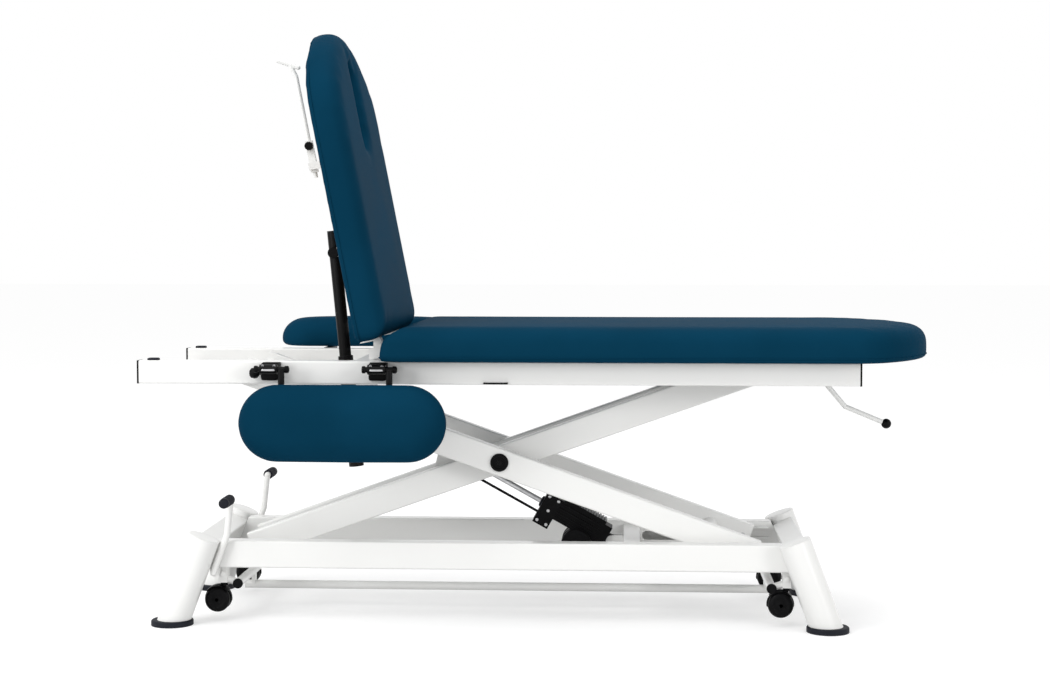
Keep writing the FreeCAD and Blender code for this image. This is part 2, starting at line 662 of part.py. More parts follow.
def seat():
    numbers = SimpleNamespace(length=d.seat_length, thickness=d.seat_thickness)
    place = Vector(d.seat_start, 0, rail_top + d.pad_lift)
    body = bowed_pad("Seat", "seat_length", "seat_thickness", d.seat_edge_radius,
                     d.pad_lower_edge, numbers)
    pocket = pad_board("SeatPocket", "seat_length", numbers)
    keep(put(cut("SeatPad", body, [pocket]), place), "seat_pad")
    board = pad_board("SeatBoard", "seat_length", numbers)
    board.Placement.Base = board.Placement.Base + place
    keep(board, "seat_board")


seat()

# backrest: along runs up the back from the hinge, outward runs from its front face
hinge = Vector(d.hinge_x, 0, rail_top + d.hinge_above_rail)
back_angle = math.radians(d.back_lean)
along = Vector(-math.cos(back_angle), 0, math.sin(back_angle))
outward = Vector(math.sin(back_angle), 0, math.cos(back_angle))
back_turn = FreeCAD.Rotation(along, -AXIS_Y, outward, "ZXY")


def on_back(s, y, t):
    return hinge + along * s - AXIS_Y * y + outward * t


def back_block(name, length, width, height, s, y, t):
    """A box on the backrest: along it, across it, and out from its face."""
    return block(name, length, width, height, on_back(s, y, t), back_turn)


strut_low = hinge + Vector(-d.strut_pin_behind, 0, -d.strut_pin_below)
strut_arm = math.hypot(d.strut_pin_behind, d.strut_pin_below)
low_bearing = math.atan2(-d.strut_pin_below, -d.strut_pin_behind)
high_bearing = low_bearing - math.radians(d.strut_opening)
strut_high = hinge + Vector(math.cos(high_bearing), 0, math.sin(high_bearing)) * strut_arm
strut_line = (strut_high - strut_low).normalize()
pin_s = (strut_high - hinge).dot(along)
pin_t = (strut_high - hinge).dot(outward)


def backrest():
    numbers = SimpleNamespace(length=d.back_length, thickness=d.back_rear + d.back_front)
    body = bowed_pad("Back", "back_length", "back_rear + back_front", d.seat_edge_radius,
                     d.back_lower_edge, numbers)
    hole_centre = Vector(d.hole_start - d.back_start + d.hole_length / 2, 0,
                         numbers.thickness / 2)
    hole_numbers = SimpleNamespace(length=d.hole_length, width=d.hole_width,
                                   depth=2 * numbers.thickness)
    hole = stadium("BackHole", "hole_length", "hole_width",
                   "2 * (back_rear + back_front)", hole_centre, hole_numbers)
    pocket = pad_board("BackPocket", "back_length", numbers)
    notches = []
    for sign in (-1, 1):
        notches.append(block("Notch%s" % side(sign), "2 * (3 * knuckle_radius)",
                             "4 * knuckle_radius",
                             "2 * (back_rear + knuckle_radius + side_gap)",
                             Vector(0, sign * d.knuckle_offset, 0)))
    put_at = on_back(d.back_start, 0, -d.back_rear)
    pad = cut("BackPad", body, [hole, pocket] + notches)
    keep(put(pad, put_at, back_turn), "back_pad")
    blank = pad_board("BackBoardBlank", "back_length", numbers)
    board_hole = stadium("BoardHole", "hole_length", "hole_width",
                         "2 * (back_rear + back_front)", hole_centre, hole_numbers)
    board = cut("BackBoard", blank, [board_hole] + [
        block("BoardNotch%s" % side(sign), "2 * (3 * knuckle_radius)", "4 * knuckle_radius",
              "4 * board_thickness", Vector(0, sign * d.knuckle_offset, 0))
        for sign in (-1, 1)])
    keep(put(board, put_at, back_turn), "back_board")


backrest()


def back_frame():
    """White tubes behind the backrest with its hinge plates and the strut's lugs."""
    middle_t = -d.back_rear - d.back_frame_depth / 2
    span = d.back_frame_end - d.back_frame_start
    pieces = []
    for sign in (-1, 1):
        pieces.append(back_block("BackMember%s" % side(sign),
                                 "back_frame_end - back_frame_start", "back_member_width",
                                 "back_frame_depth", d.back_frame_start + span / 2,
                                 sign * d.back_member_offset, middle_t))
    crossings = (d.back_frame_start, d.lug_member_start, d.back_frame_end)
    for number, s in enumerate(crossings):
        pieces.append(back_block("BackCrosser%d" % number, "back_member_width",
                                 "2 * back_member_offset + back_member_width",
                                 "back_frame_depth", s + d.back_member_width / 2, 0, middle_t))
    deep = d.back_rear + d.back_frame_depth
    for sign in (-1, 1):
        for step in (-1, 1):
            y = sign * d.knuckle_offset + step * (d.plate + d.side_gap)
            name = "Knuckle%s%d" % (side(sign), step)
            pieces.append(back_block(name, "3 * knuckle_radius", "plate",
                                     "back_rear + back_frame_depth",
                                     1.5 * d.knuckle_radius, y, -deep / 2))
            pieces.append(rod(name + "Eye", "hinge_pin_radius + 1.5 * side_gap", "plate",
                              on_back(0, y, 0) - AXIS_Y * (d.plate / 2), AXIS_Y))
        pieces.append(rod("HingePin%s" % side(sign), "hinge_pin_radius",
                          "3 * plate + 2 * side_gap",
                          on_back(0, sign * d.knuckle_offset, 0)
                          - AXIS_Y * (1.5 * d.plate + d.side_gap), AXIS_Y))
    drop = -pin_t - d.back_rear - d.back_frame_depth / 2
    for sign in (-1, 1):
        y = sign * (d.strut_plate_offset + d.plate / 2)
        lug = back_block("StrutLug%s" % side(sign), "back_member_width", "plate",
                         "back_member_width", pin_s, y, middle_t - drop / 2)
        lug.setExpression("Height", None)
        lug.Height = drop
        lug.Placement.Base = lug.Placement.Base - outward * (drop - d.back_member_width) / 2
        pieces.append(lug)
        pieces.append(rod("StrutEye%s" % side(sign), "2 * strut_pin_radius", "plate",
                          on_back(pin_s, y, pin_t) - AXIS_Y * (d.plate / 2), AXIS_Y))
    frame = fuse("BackFrameJoined", pieces)
    bore = rod("StrutLugBore", "strut_pin_radius + running_gap",
               "2 * (strut_plate_offset + 2 * plate)",
               on_back(pin_s, d.strut_plate_offset + 2 * d.plate, pin_t), AXIS_Y)
    return cut("BackFrame", frame, [bore])


def holder():
    """The paper holder's arm on the back frame, its knob and its bent wire."""
    near_t = -d.back_rear - d.back_frame_depth
    foot_s = d.back_frame_end + d.back_member_width / 2
    arm = back_block("HolderArm", "holder_arm", "holder_arm", "holder_behind",
                     foot_s, 0, near_t - (d.holder_behind + near_t) / 2)
    length = d.holder_behind + near_t + d.holder_arm / 2
    arm.setExpression("Height", None)
    arm.Height = length
    arm.Placement.Base = on_back(foot_s - d.holder_arm / 2, d.holder_arm / 2,
                                 -d.holder_behind - d.holder_arm / 2)
    post = back_block("HolderPost", "holder_along - back_frame_end + holder_arm",
                      "holder_arm", "holder_arm",
                      (d.holder_along + d.back_frame_end) / 2 + d.holder_arm / 4, 0,
                      -d.holder_behind)
    bore_start = on_back(d.back_frame_start + d.hole_start / 2, 0, -d.holder_behind)
    bore = rod("HolderBore", "holder_radius + running_gap", "back_length", bore_start, along)
    clamp = cut("HolderClamp", fuse("HolderJoined", [arm, post]), [bore])
    knob_s = on_back(d.holder_along, d.holder_arm / 2 + d.running_gap * 6, -d.holder_behind)
    keep(rod("HolderKnob", "holder_knob_radius", "holder_knob_width", knob_s, -AXIS_Y),
         "holder_knob")
    start = on_back(d.back_frame_end - d.holder_arm, 0, -d.holder_behind)
    top = on_back(d.holder_along + d.holder_wire_rise, 0, -d.holder_behind)
    knee = top + along * d.holder_bend_rise - outward * d.holder_bend_back
    pieces = [strut_between("HolderWire", "holder_radius", start, top),
              strut_between("HolderBend", "holder_radius", top, knee),
              ball("HolderTop", "holder_radius", top),
              ball("HolderKnee", "holder_radius", knee)]
    left = knee + Vector(-d.holder_left_run, 0, d.holder_left_rise)
    right = knee + Vector(d.holder_right_run, 0, -d.holder_right_drop)
    pieces.append(strut_between("HolderCross", "holder_radius", left, right))
    for name, point in (("Left", left), ("Right", right)):
        pieces.append(ball("HolderTip" + name, "holder_radius", point))
    keep(fuse("HolderRod", pieces), "holder_rod")
    return clamp


def strut_between(name, radius, start, end):
    """A round bar between two points."""
    bar = doc.addObject("Part::Cylinder", name)
    bind(bar, Radius=radius)
    bar.Height = (end - start).Length
    bar.Placement = FreeCAD.Placement(start, FreeCAD.Rotation(AXIS_Z, end - start))
    return bar


keep(group("BackFrameParts", [back_frame(), holder()]), "back_frame")


# telescopic strut behind the backrest
def back_strut():
    tail = strut_low - strut_line * d.strut_tube_tail
    outer = rod("StrutTube", "strut_tube_radius", "strut_tube_tail + strut_tube_reach", tail,
                strut_line)
    pins = []
    for sign in (-1, 1):
        pins.append(rod("TubePin%s" % side(sign), "strut_pin_radius",
                        "strut_plate_offset + plate - strut_rod_radius - side_gap",
                        shifted(strut_low, sign * (d.strut_rod_radius + d.side_gap)),
                        AXIS_Y * sign))
    body = fuse("StrutTubeJoined", [outer] + pins)
    bore = rod("StrutBore", "strut_rod_radius + strut_play",
               "strut_tube_tail + strut_tube_reach", tail + strut_line * d.side_gap,
               strut_line)
    keep(cut("StrutOuter", body, [bore]), "strut_tube")
    top = strut_high + strut_line * d.strut_rod_top
    shaft = rod("StrutRod", "strut_rod_radius", "strut_rod_reach + strut_rod_top", top,
                strut_line * -1)
    cross = rod("StrutRodPin", "strut_pin_radius", "2 * (strut_plate_offset + plate)",
                shifted(strut_high, -d.strut_plate_offset - d.plate), AXIS_Y)
    keep(fuse("StrutInner", [shaft, cross]), "strut_rod")


back_strut()


def hinge_and_strut_brackets():
    """Frame plates: two knuckles for the backrest and a fork for the strut's foot."""
    pieces = []
    cross_x = d.strut_crosser_x
    for sign in (-1, 1):
        y = sign * d.knuckle_offset
        post = doc.addObject("Part::Box", "HingePost%s" % side(sign))
        post_start = hinge.x - 2 * d.knuckle_radius
        post.Length = 3 * d.knuckle_radius
        bind(post, Width="plate - 2 * running_gap", Height="hinge_above_rail")
        thick = d.plate - 2 * d.running_gap
        post.Placement.Base = Vector(post_start, y - thick / 2, rail_top)
        lean_cut = block("HingeLean%s" % side(sign), "4 * knuckle_radius", "3 * plate",
                         "4 * knuckle_radius",
                         Vector(hinge.x - 3 * d.knuckle_radius, y,
                                hinge.z + d.side_gap))
        shortened = cut("HingePostCut%s" % side(sign), post, [lean_cut])
        eye = rod("HingeEye%s" % side(sign), "knuckle_radius", "plate - 2 * running_gap",
                  Vector(hinge.x, y - thick / 2, hinge.z), AXIS_Y)
        bore = rod("HingeBore%s" % side(sign), "hinge_pin_radius + running_gap", "3 * plate",
                   Vector(hinge.x, y - 1.5 * d.plate, hinge.z), AXIS_Y)
        joined = fuse("HingeJoined%s" % side(sign), [shortened, eye])
        pieces.append(cut("HingeBracket%s" % side(sign), joined, [bore]))
    for sign in (-1, 1):
        y = sign * (d.strut_plate_offset + d.plate / 2)
        top = Vector(cross_x, y, crosser_bottom)
        low = shifted(strut_low, y)
        line = low - top
        plate = doc.addObject("Part::Box", "ForkPlate%s" % side(sign))
        plate.Length = line.Length
        bind(plate, Width="plate", Height="crosser_width - 2 * plate")
        turn = FreeCAD.Rotation(AXIS_Y, math.degrees(math.atan2(-line.z, line.x)))
        half = (d.crosser_width - 2 * d.plate) / 2
        plate.Placement = FreeCAD.Placement(
            top - AXIS_Y * (d.plate / 2) - turn.multVec(AXIS_Z) * half, turn)
        eye = rod("ForkEye%s" % side(sign), "2 * strut_pin_radius + side_gap", "plate",
                  low - AXIS_Y * (d.plate / 2), AXIS_Y)
        bore = rod("ForkBore%s" % side(sign), "strut_pin_radius + running_gap", "3 * plate",
                   low - AXIS_Y * (1.5 * d.plate), AXIS_Y)
        above = block("ForkTrim%s" % side(sign), "2 * crosser_width", "3 * plate",
                      "crosser_width", top + AXIS_Z * (d.crosser_width / 2))
        joined = fuse("ForkJoined%s" % side(sign), [plate, eye])
        pieces.append(cut("Fork%s" % side(sign), joined, [bore, above]))
    return pieces


frame_brackets = hinge_and_strut_brackets() + pivot_plates + [frame_axle]

# armrests: one hangs beside the rail, the other is raised level with the seat
arm_pivot_z = rail_top - d.arm_pivot_below
post_places = [d.arm_centre_x - d.arm_post_spacing / 2,
               d.arm_centre_x + d.arm_post_spacing / 2]
rod_past_post = d.arm_post_radius + d.side_gap


def armrest(sign, outboard, lift):
    """outboard points from the pivot towards the pad's far edge, lift to its top face."""
    tag = side(sign)
    pivot = Vector(0, sign * d.arm_pivot_y, arm_pivot_z)
    turn = FreeCAD.Rotation(AXIS_X, lift.cross(AXIS_X), lift, "ZXY")
    numbers = SimpleNamespace(length=d.arm_pad_length, width=d.arm_pad_width,
                              depth=d.arm_pad_thickness)
    plan = stadium("ArmPad" + tag, "arm_pad_length", "arm_pad_width", "arm_pad_thickness",
                   Vector(), numbers)
    half = d.arm_pad_thickness / 2
    soft = rounded("ArmPadSoft" + tag, plan, d.arm_pad_edge,
                   lambda edge, ends: all(abs(abs(p.z) - half) < 0.01 for p in ends)
                   and abs(edge.CenterOfMass.z) > half - 0.01)
    centre = (Vector(d.arm_centre_x - sign * d.arm_pad_shift, 0, 0) + pivot
              + outboard * (d.arm_pad_near + d.arm_pad_width / 2)
              + lift * (d.arm_pad_lift + half))
    keep(put(soft, centre, turn), "armrest_pad_" + tag)
    pieces = []
    for number, post_x in enumerate(post_places):
        start = Vector(post_x, 0, 0) + pivot + lift * (d.arm_pad_lift - d.arm_post_radius)
        post = rod("ArmPost%s%d" % (tag, number), "arm_post_radius", "arm_post_length",
                   start, outboard)
        shaft = rod("ArmShaft%s%d" % (tag, number), "arm_rod_radius", "arm_rod_length",
                    Vector(post_x + rod_past_post, 0, 0) + pivot, -AXIS_X)
        pieces.append(fuse("ArmPostRod%s%d" % (tag, number), [post, shaft]))
    keep(group("ArmPosts" + tag, pieces), "armrest_posts_" + tag)


armrest(-1, Vector(0, 0, -1), Vector(0, -1, 0))
armrest(1, Vector(0, 1, 0), Vector(0, 0, 1))


def clamps():
    """Black brackets on the rails' outer faces with a bore for each armrest shaft."""
    pieces = []
    for sign in (-1, 1):
        for number, post_x in enumerate(post_places):
            tag = "%s%d" % (side(sign), number)
            clamp_x = post_x - d.arm_post_radius - d.side_gap - d.clamp_length / 2
            face = sign * (d.rail_inside + d.rail_width)
            middle = Vector(clamp_x, (face + sign * d.arm_pivot_y) / 2, arm_pivot_z)
            base = block("Clamp" + tag, "clamp_length",
                         "arm_pivot_y - rail_inside - rail_width", "clamp_height / 2", middle)
            foot = block("ClampFoot" + tag, "clamp_length", "plate", "clamp_height",
                         Vector(clamp_x, face + sign * d.plate / 2, arm_pivot_z - d.plate))
            eye = rod("ClampEye" + tag, "clamp_height / 4 + side_gap / 2", "clamp_length",
                      Vector(clamp_x - d.clamp_length / 2, sign * d.arm_pivot_y, arm_pivot_z),
                      AXIS_X)
            bore = rod("ClampBore" + tag, "arm_rod_radius + running_gap",
                       "2 * clamp_length",
                       Vector(clamp_x - d.clamp_length, sign * d.arm_pivot_y, arm_pivot_z),
                       AXIS_X)
            joined = fuse("ClampJoined" + tag, [base, foot, eye])
            pieces.append(cut("ClampCut" + tag, joined, [bore]))
    keep(group("Clamps", pieces), "armrest_clamps")
    for sign in (-1, 1):
        tag = side(sign)
        clamp_x = post_places[0] - d.arm_post_radius - d.side_gap - d.clamp_length
        face = sign * (d.rail_inside + d.rail_width)
        centre = Vector(clamp_x - d.arm_knob_radius - d.arm_knob_stem / 2,
                        face + sign * (d.arm_knob_radius + d.arm_post_radius + d.side_gap),
                        arm_pivot_z - d.clamp_height / 4)
        stem = rod("ArmKnobStem" + tag, "arm_rod_radius - side_gap",
                   "arm_knob_radius + arm_knob_stem / 2 - track_gap", centre, AXIS_X)
        keep(fuse("ArmKnob" + tag, [ball("ArmKnobBall" + tag, "arm_knob_radius", centre),
                                    stem]), "armrest_knob_" + tag)


clamps()

# lift actuator, drawn along its own line from its rear pin to the lug
drive_line = (drive_end - drive).normalize()
drive_up = Vector(-drive_line.z, 0, drive_line.x) * -1
drive_turn = FreeCAD.Rotation(drive_line, -AXIS_Y, drive_up, "ZXY")


def on_drive(s, t):
    return drive + drive_line * s + drive_up * t


def actuator():
    middle_s = (d.drive_body_start + d.drive_body_end) / 2
    middle_t = (d.drive_body_top - d.drive_body_bottom) / 2
    main = block("DriveBody", "drive_body_end - drive_body_start", "drive_body_width",
                 "drive_body_top + drive_body_bottom", on_drive(middle_s, middle_t), drive_turn)
    head_t = (d.drive_body_top - d.drive_head_bottom) / 2
    head = block("DriveHead", "drive_head_length", "drive_body_width + 2 * side_gap",
                 "drive_body_top + drive_head_bottom",
                 on_drive(d.drive_body_end - d.drive_head_length / 2, head_t), drive_turn)
    tail = block("DriveTail", "2 * drive_body_start", "clevis_gap - side_gap",
                 "4 * drive_pin_radius", on_drive(d.drive_body_start, 0), drive_turn)
    eye = rod("DriveEye", "2 * drive_pin_radius", "clevis_gap - side_gap",
              shifted(drive, -(d.clevis_gap - d.side_gap) / 2), AXIS_Y)
    guide = rod("GuideRod", "guide_rod_radius", "guide_rod_length",
                on_drive(d.drive_body_end, -d.guide_rod_below), drive_line)
    joined = fuse("DriveJoined", [main, head, tail, eye, guide])
    motor_place = on_drive(d.motor_along, -d.motor_below)
    pocket = rod("MotorPocket", "motor_radius", "motor_width",
                 shifted(motor_place, -d.motor_width / 2), AXIS_Y)
    pin_hole = rod("DrivePinHole", "drive_pin_radius + running_gap", "2 * clevis_gap",
                   shifted(drive, -d.clevis_gap), AXIS_Y)
    rod_bore = rod("DriveBore", "drive_bore_radius", "drive_body_end",
                   on_drive(d.drive_body_start - d.side_gap, 0), drive_line)
    housing = cut("DriveHousing", joined, [pocket, pin_hole, rod_bore])
    keep(rod("Motor", "motor_radius", "motor_width",
             shifted(motor_place, -d.motor_width / 2), AXIS_Y), "actuator_motor")
    guard = block("Guard", "guard_length", "drive_body_width", "guard_thickness",
                  on_drive(d.guard_start + d.guard_length / 2,
                           d.drive_body_top + d.guard_thickness / 2), drive_turn)
    keep(fuse("DriveCasing", [housing, guard]), "actuator_housing")
    shaft = strut_between("DriveRod", "drive_rod_radius", on_drive(d.drive_rod_start, 0),
                          drive_end)
    end = rod("RodEye", "drive_eye_radius", "drive_eye_width",
              shifted(drive_end, -d.drive_eye_width / 2), AXIS_Y)
    keep(fuse("DriveShaft", [shaft, end]), "actuator_rod")


actuator()


# caster gear: one carriage that the pedals lower, with four swivelling twin casters
def caster_stems():
    for sign in (-1, 1):
        for end, stem_x in ((-1, d.caster_left_x), (1, d.caster_right_x)):
            yield sign, end, Vector(stem_x, sign * d.caster_y, 0)


bracket_top = d.base_rail_bottom - d.rail_clearance


def carriage():
    brackets = []
    for sign, end, foot in caster_stems():
        tag = "%s%d" % (side(sign), end)
        height = bracket_top - d.bracket_bottom
        body = block("Bracket" + tag, "bracket_length", "bracket_width", "bracket_length",
                     foot + AXIS_Z * (d.bracket_bottom + height / 2))
        body.setExpression("Height", None)
        body.Height = height
        body.Placement.Base.z = d.bracket_bottom
        guide = rod("GuidePin" + tag, "guide_pin_radius", "guide_pin_length",
                    foot + AXIS_Z * (bracket_top - d.side_gap), AXIS_Z)
        bar_x = foot.x + d.bar_from_caster * (1 if end < 0 else -1)
        bar = Vector(bar_x, foot.y, d.bar_height)
        arm = strut_between("CarrierArm" + tag, "bar_radius - side_gap",
                            Vector(foot.x, foot.y, d.bar_height + d.bar_radius), bar)
        joined = fuse("BracketJoined" + tag, [body, guide, arm])
        clear = rod("StemBore" + tag, "stem_radius + running_gap", "bracket_length",
                    foot + AXIS_Z * (d.bracket_bottom - d.side_gap), AXIS_Z)
        seat_cut = rod("BarSaddle" + tag, "bar_radius", "2 * bracket_width",
                       Vector(bar_x, foot.y - d.bracket_width, d.bar_height), AXIS_Y)
        brackets.append(cut("BracketCut" + tag, joined, [clear, seat_cut]))
    keep(group("Brackets", brackets), "caster_brackets")
    bars = []
    caps = []
    link_ends = []
    for end, stem_x in ((-1, d.caster_left_x), (1, d.caster_right_x)):
        bar_x = stem_x + d.bar_from_caster * (1 if end < 0 else -1)
        link_ends.append(bar_x)
        half = d.caster_y + d.bracket_width / 2
        bars.append(rod("CarriageBar%d" % end, "bar_radius", "2 * caster_y + bracket_width",
                        Vector(bar_x, -half, d.bar_height), AXIS_Y))
        bars.append(block("Drop%d" % end, "drop_plate", "drop_width",
                          "bar_height - link_height",
                          Vector(bar_x, 0, (d.bar_height + d.link_height) / 2)))
        for sign in (-1, 1):
            caps.append(rod("BarCap%d%s" % (end, side(sign)), "bar_radius + side_gap / 2",
                            "bar_cap", Vector(bar_x, sign * half, d.bar_height),
                            AXIS_Y * sign))
    link_start = Vector(link_ends[0] - d.drop_width, 0, d.link_height)
    link_end = Vector(link_ends[1] + d.drop_width, 0, d.link_height)
    bars.append(strut_between("LinkBar", "link_radius", link_start, link_end))
    keep(fuse("CarriageBars", bars), "carriage_bars")
    keep(group("BarCaps", caps), "carriage_caps")


carriage()


def casters():
    for sign, end, foot in caster_stems():
        tag = "%s_%s" % ("head" if end < 0 else "foot", side(sign))
        hub = foot + Vector(-d.caster_trail, 0, d.wheel_height)
        shell = rod("Hood" + tag, "hood_radius", "wheel_split - 2 * track_gap",
                    hub - AXIS_Y * (d.wheel_split / 2 - d.track_gap), AXIS_Y)
        below = block("HoodTrim" + tag, "4 * hood_radius", "2 * wheel_split", "2 * hood_radius",
                      hub - AXIS_Z * (d.hood_radius + d.stem_radius))
        wheel_top = d.wheel_height + d.wheel_radius
        stem = rod("Stem" + tag, "stem_radius",
                   "bracket_bottom - wheel_height - wheel_radius + 2 * stem_radius",
                   foot + AXIS_Z * wheel_top, AXIS_Z)
        collar = rod("StemCollar" + tag, "1.6 * stem_radius", "stem_radius",
                     foot + AXIS_Z * (wheel_top + d.side_gap), AXIS_Z)
        neck = block("Neck" + tag, "caster_trail + stem_radius",
                     "wheel_split - 2 * track_gap", "2 * side_gap",
                     hub + Vector((d.caster_trail + d.stem_radius) / 2, 0,
                                  d.wheel_radius + d.side_gap))
        pin = rod("WheelPin" + tag, "wheel_pin_radius", "wheel_split + 2 * wheel_width",
                  hub - AXIS_Y * (d.wheel_split / 2 + d.wheel_width), AXIS_Y)
        boss = rod("PinBoss" + tag, "2 * wheel_pin_radius", "wheel_split - 2 * track_gap",
                   hub - AXIS_Y * (d.wheel_split / 2 - d.track_gap), AXIS_Y)
        trimmed = cut("HoodCut" + tag, shell, [below])
        keep(fuse("ForkJoined" + tag, [trimmed, stem, collar, neck, pin, boss]),
             "caster_fork_" + tag)
        wheels = []
        for step in (-1, 1):
            start = hub + AXIS_Y * (step * d.wheel_split / 2)
            tyre = rod("Wheel%s%d" % (tag, step), "wheel_radius", "wheel_width", start,
                       AXIS_Y * step)
            soft = rounded("WheelSoft%s%d" % (tag, step), tyre, d.track_wall,
                           lambda edge, ends: edge.Curve.TypeId == "Part::GeomCircle")
            bore = rod("WheelBore%s%d" % (tag, step), "wheel_pin_radius + running_gap",
                       "wheel_width", start, AXIS_Y * step)
            wheels.append(cut("WheelCut%s%d" % (tag, step), soft, [bore]))
        keep(group("Wheels" + tag, wheels), "caster_wheels_" + tag)


casters()


def pedals():
    """Two pedal arms on one axle below the rails, with grips that point outward."""
    pivot = Vector(d.pedal_x, 0, d.pedal_z)
    axle = rod("PedalAxle", "pedal_axle_radius", "2 * pedal_y", shifted(pivot, -d.pedal_y),
               AXIS_Y)
    pieces = [axle]
    grips = []
    for sign in (-1, 1):
        tag = side(sign)
        y = sign * d.pedal_y
        foot = shifted(pivot, y)
        knee = Vector(d.pedal_knee_x, y, d.pedal_knee_z)
        top = Vector(d.pedal_top_x, y, d.pedal_top_z)
        pieces.append(strut_between("PedalLow" + tag, "pedal_radius", foot, knee))
        pieces.append(strut_between("PedalHigh" + tag, "pedal_radius", knee, top))
        for name, point in (("Foot", foot), ("Knee", knee), ("Top", top)):
            pieces.append(ball("Pedal%s%s" % (name, tag), "pedal_radius", point))
        pieces.append(rod("PedalPeg" + tag, "pedal_radius",
                          "grip_length - pedal_radius", top, AXIS_Y * sign))
        cover = rod("Grip" + tag, "grip_radius", "grip_length",
                    top + AXIS_Y * sign * d.pedal_radius, AXIS_Y * sign)
        hollow = rod("GripBore" + tag, "pedal_radius", "grip_length - 2 * pedal_radius",
                     top + AXIS_Y * sign * d.pedal_radius, AXIS_Y * sign)
        grips.append(cut("GripCut" + tag, cover, [hollow]))
    keep(fuse("Pedals", pieces), "pedal_bar")
    keep(group("Grips", grips), "pedal_grips")
    holders = []
    for sign in (-1, 1):
        tag = side(sign)
        y = sign * (d.base_rail_inside + d.base_rail_width - d.plate)
        ear = doc.addObject("Part::Box", "PedalEar" + tag)
        bind(ear, Length="4 * pedal_axle_radius", Width="plate")
        ear.Height = d.base_rail_bottom - pivot.z
        ear.Placement.Base = Vector(pivot.x - 2 * d.pedal_axle_radius, y - d.plate / 2, pivot.z)
        eye = rod("PedalEye" + tag, "2 * pedal_axle_radius", "plate",
                  shifted(pivot, y - d.plate / 2), AXIS_Y)
        above = block("PedalEyeTrim" + tag, "8 * pedal_axle_radius", "3 * plate",
                      "8 * pedal_axle_radius",
                      Vector(pivot.x, y, d.base_rail_bottom + 4 * d.pedal_axle_radius))
        hole = rod("PedalHole" + tag, "pedal_axle_radius + running_gap", "3 * plate",
                   shifted(pivot, y - 1.5 * d.plate), AXIS_Y)
        joined = fuse("PedalEarJoined" + tag, [ear, eye])
        holders.append(cut("PedalEarCut" + tag, joined, [hole, above]))
    keep(group("PedalEars", holders), "pedal_bearings")


pedals()


def lever():
    """The bent lever below the foot end, with its bracket on the last cross tube."""
    pivot = Vector(d.lever_x, 0, rail_top - d.lever_z_below)
    bends = [pivot, pivot + Vector(d.lever_first_run, 0, -d.lever_first_drop),
             pivot + Vector(d.lever_second_run, 0, -d.lever_second_drop),
             pivot + Vector(d.lever_tip_run, 0, -d.lever_tip_drop)]
    pieces = []
    for number in range(3):
        pieces.append(strut_between("Lever%d" % number, "lever_radius", bends[number],
                                    bends[number + 1]))
        pieces.append(ball("LeverBend%d" % number, "lever_radius", bends[number]))
    boss = rod("LeverBoss", "lever_radius + side_gap", "2 * plate",
               pivot - AXIS_Y * d.plate, AXIS_Y)
    axle = rod("LeverAxle", "lever_radius - side_gap", "4 * plate + 2 * side_gap",
               pivot - AXIS_Y * (2 * d.plate + d.side_gap), AXIS_Y)
    keep(fuse("LeverRod", pieces + [boss, axle]), "foot_lever")
    line = (bends[3] - bends[2]).normalize()
    tip = bends[3] - line * (d.lever_cap_length / 2)
    cover = rod("LeverCap", "lever_cap_radius", "lever_cap_length", tip, line)
    hollow = rod("LeverCapBore", "lever_radius", "lever_cap_length / 2", tip, line)
    keep(cut("LeverCapCut", cover, [hollow]), "lever_cap")
    ears = []
    last = d.rail_half_length - d.crosser_width
    for sign in (-1, 1):
        y = sign * (1.5 * d.plate + d.side_gap / 2)
        ear = doc.addObject("Part::Box", "LeverEar%s" % side(sign))
        ear.Length = last - pivot.x
        bind(ear, Width="plate", Height="2 * (lever_radius + side_gap)")
        ear.Placement.Base = Vector(pivot.x, y - d.plate / 2,
                                    pivot.z - d.lever_radius - d.side_gap)
        eye = rod("LeverEye%s" % side(sign), "lever_radius + side_gap", "plate",
                  shifted(pivot, y - d.plate / 2), AXIS_Y)
        hole = rod("LeverHole%s" % side(sign), "lever_radius - side_gap + running_gap",
                   "3 * plate", shifted(pivot, y - 1.5 * d.plate), AXIS_Y)
        joined = fuse("LeverEarJoined%s" % side(sign), [ear, eye])
        ears.append(cut("LeverEarCut%s" % side(sign), joined, [hole]))
    return ears


frame_brackets += lever()
keep(group("FrameBrackets", frame_brackets), "frame_brackets")

doc.recompute()
for obj in doc.Objects:
    if "Invalid" in obj.State or "Error" in obj.State:
        raise RuntimeError("%s failed: %s" % (obj.Name, obj.State))
for obj in kept:
    if obj.Shape.isNull() or not obj.Shape.isValid() or obj.Shape.Volume <= 0:
        raise RuntimeError("%s has a bad shape" % obj.Label)
for obj in kept:
    obj.Shape.exportStep("parts/%s.step" % obj.Label)
print(len(kept), "sub-parts")
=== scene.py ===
import json
import math

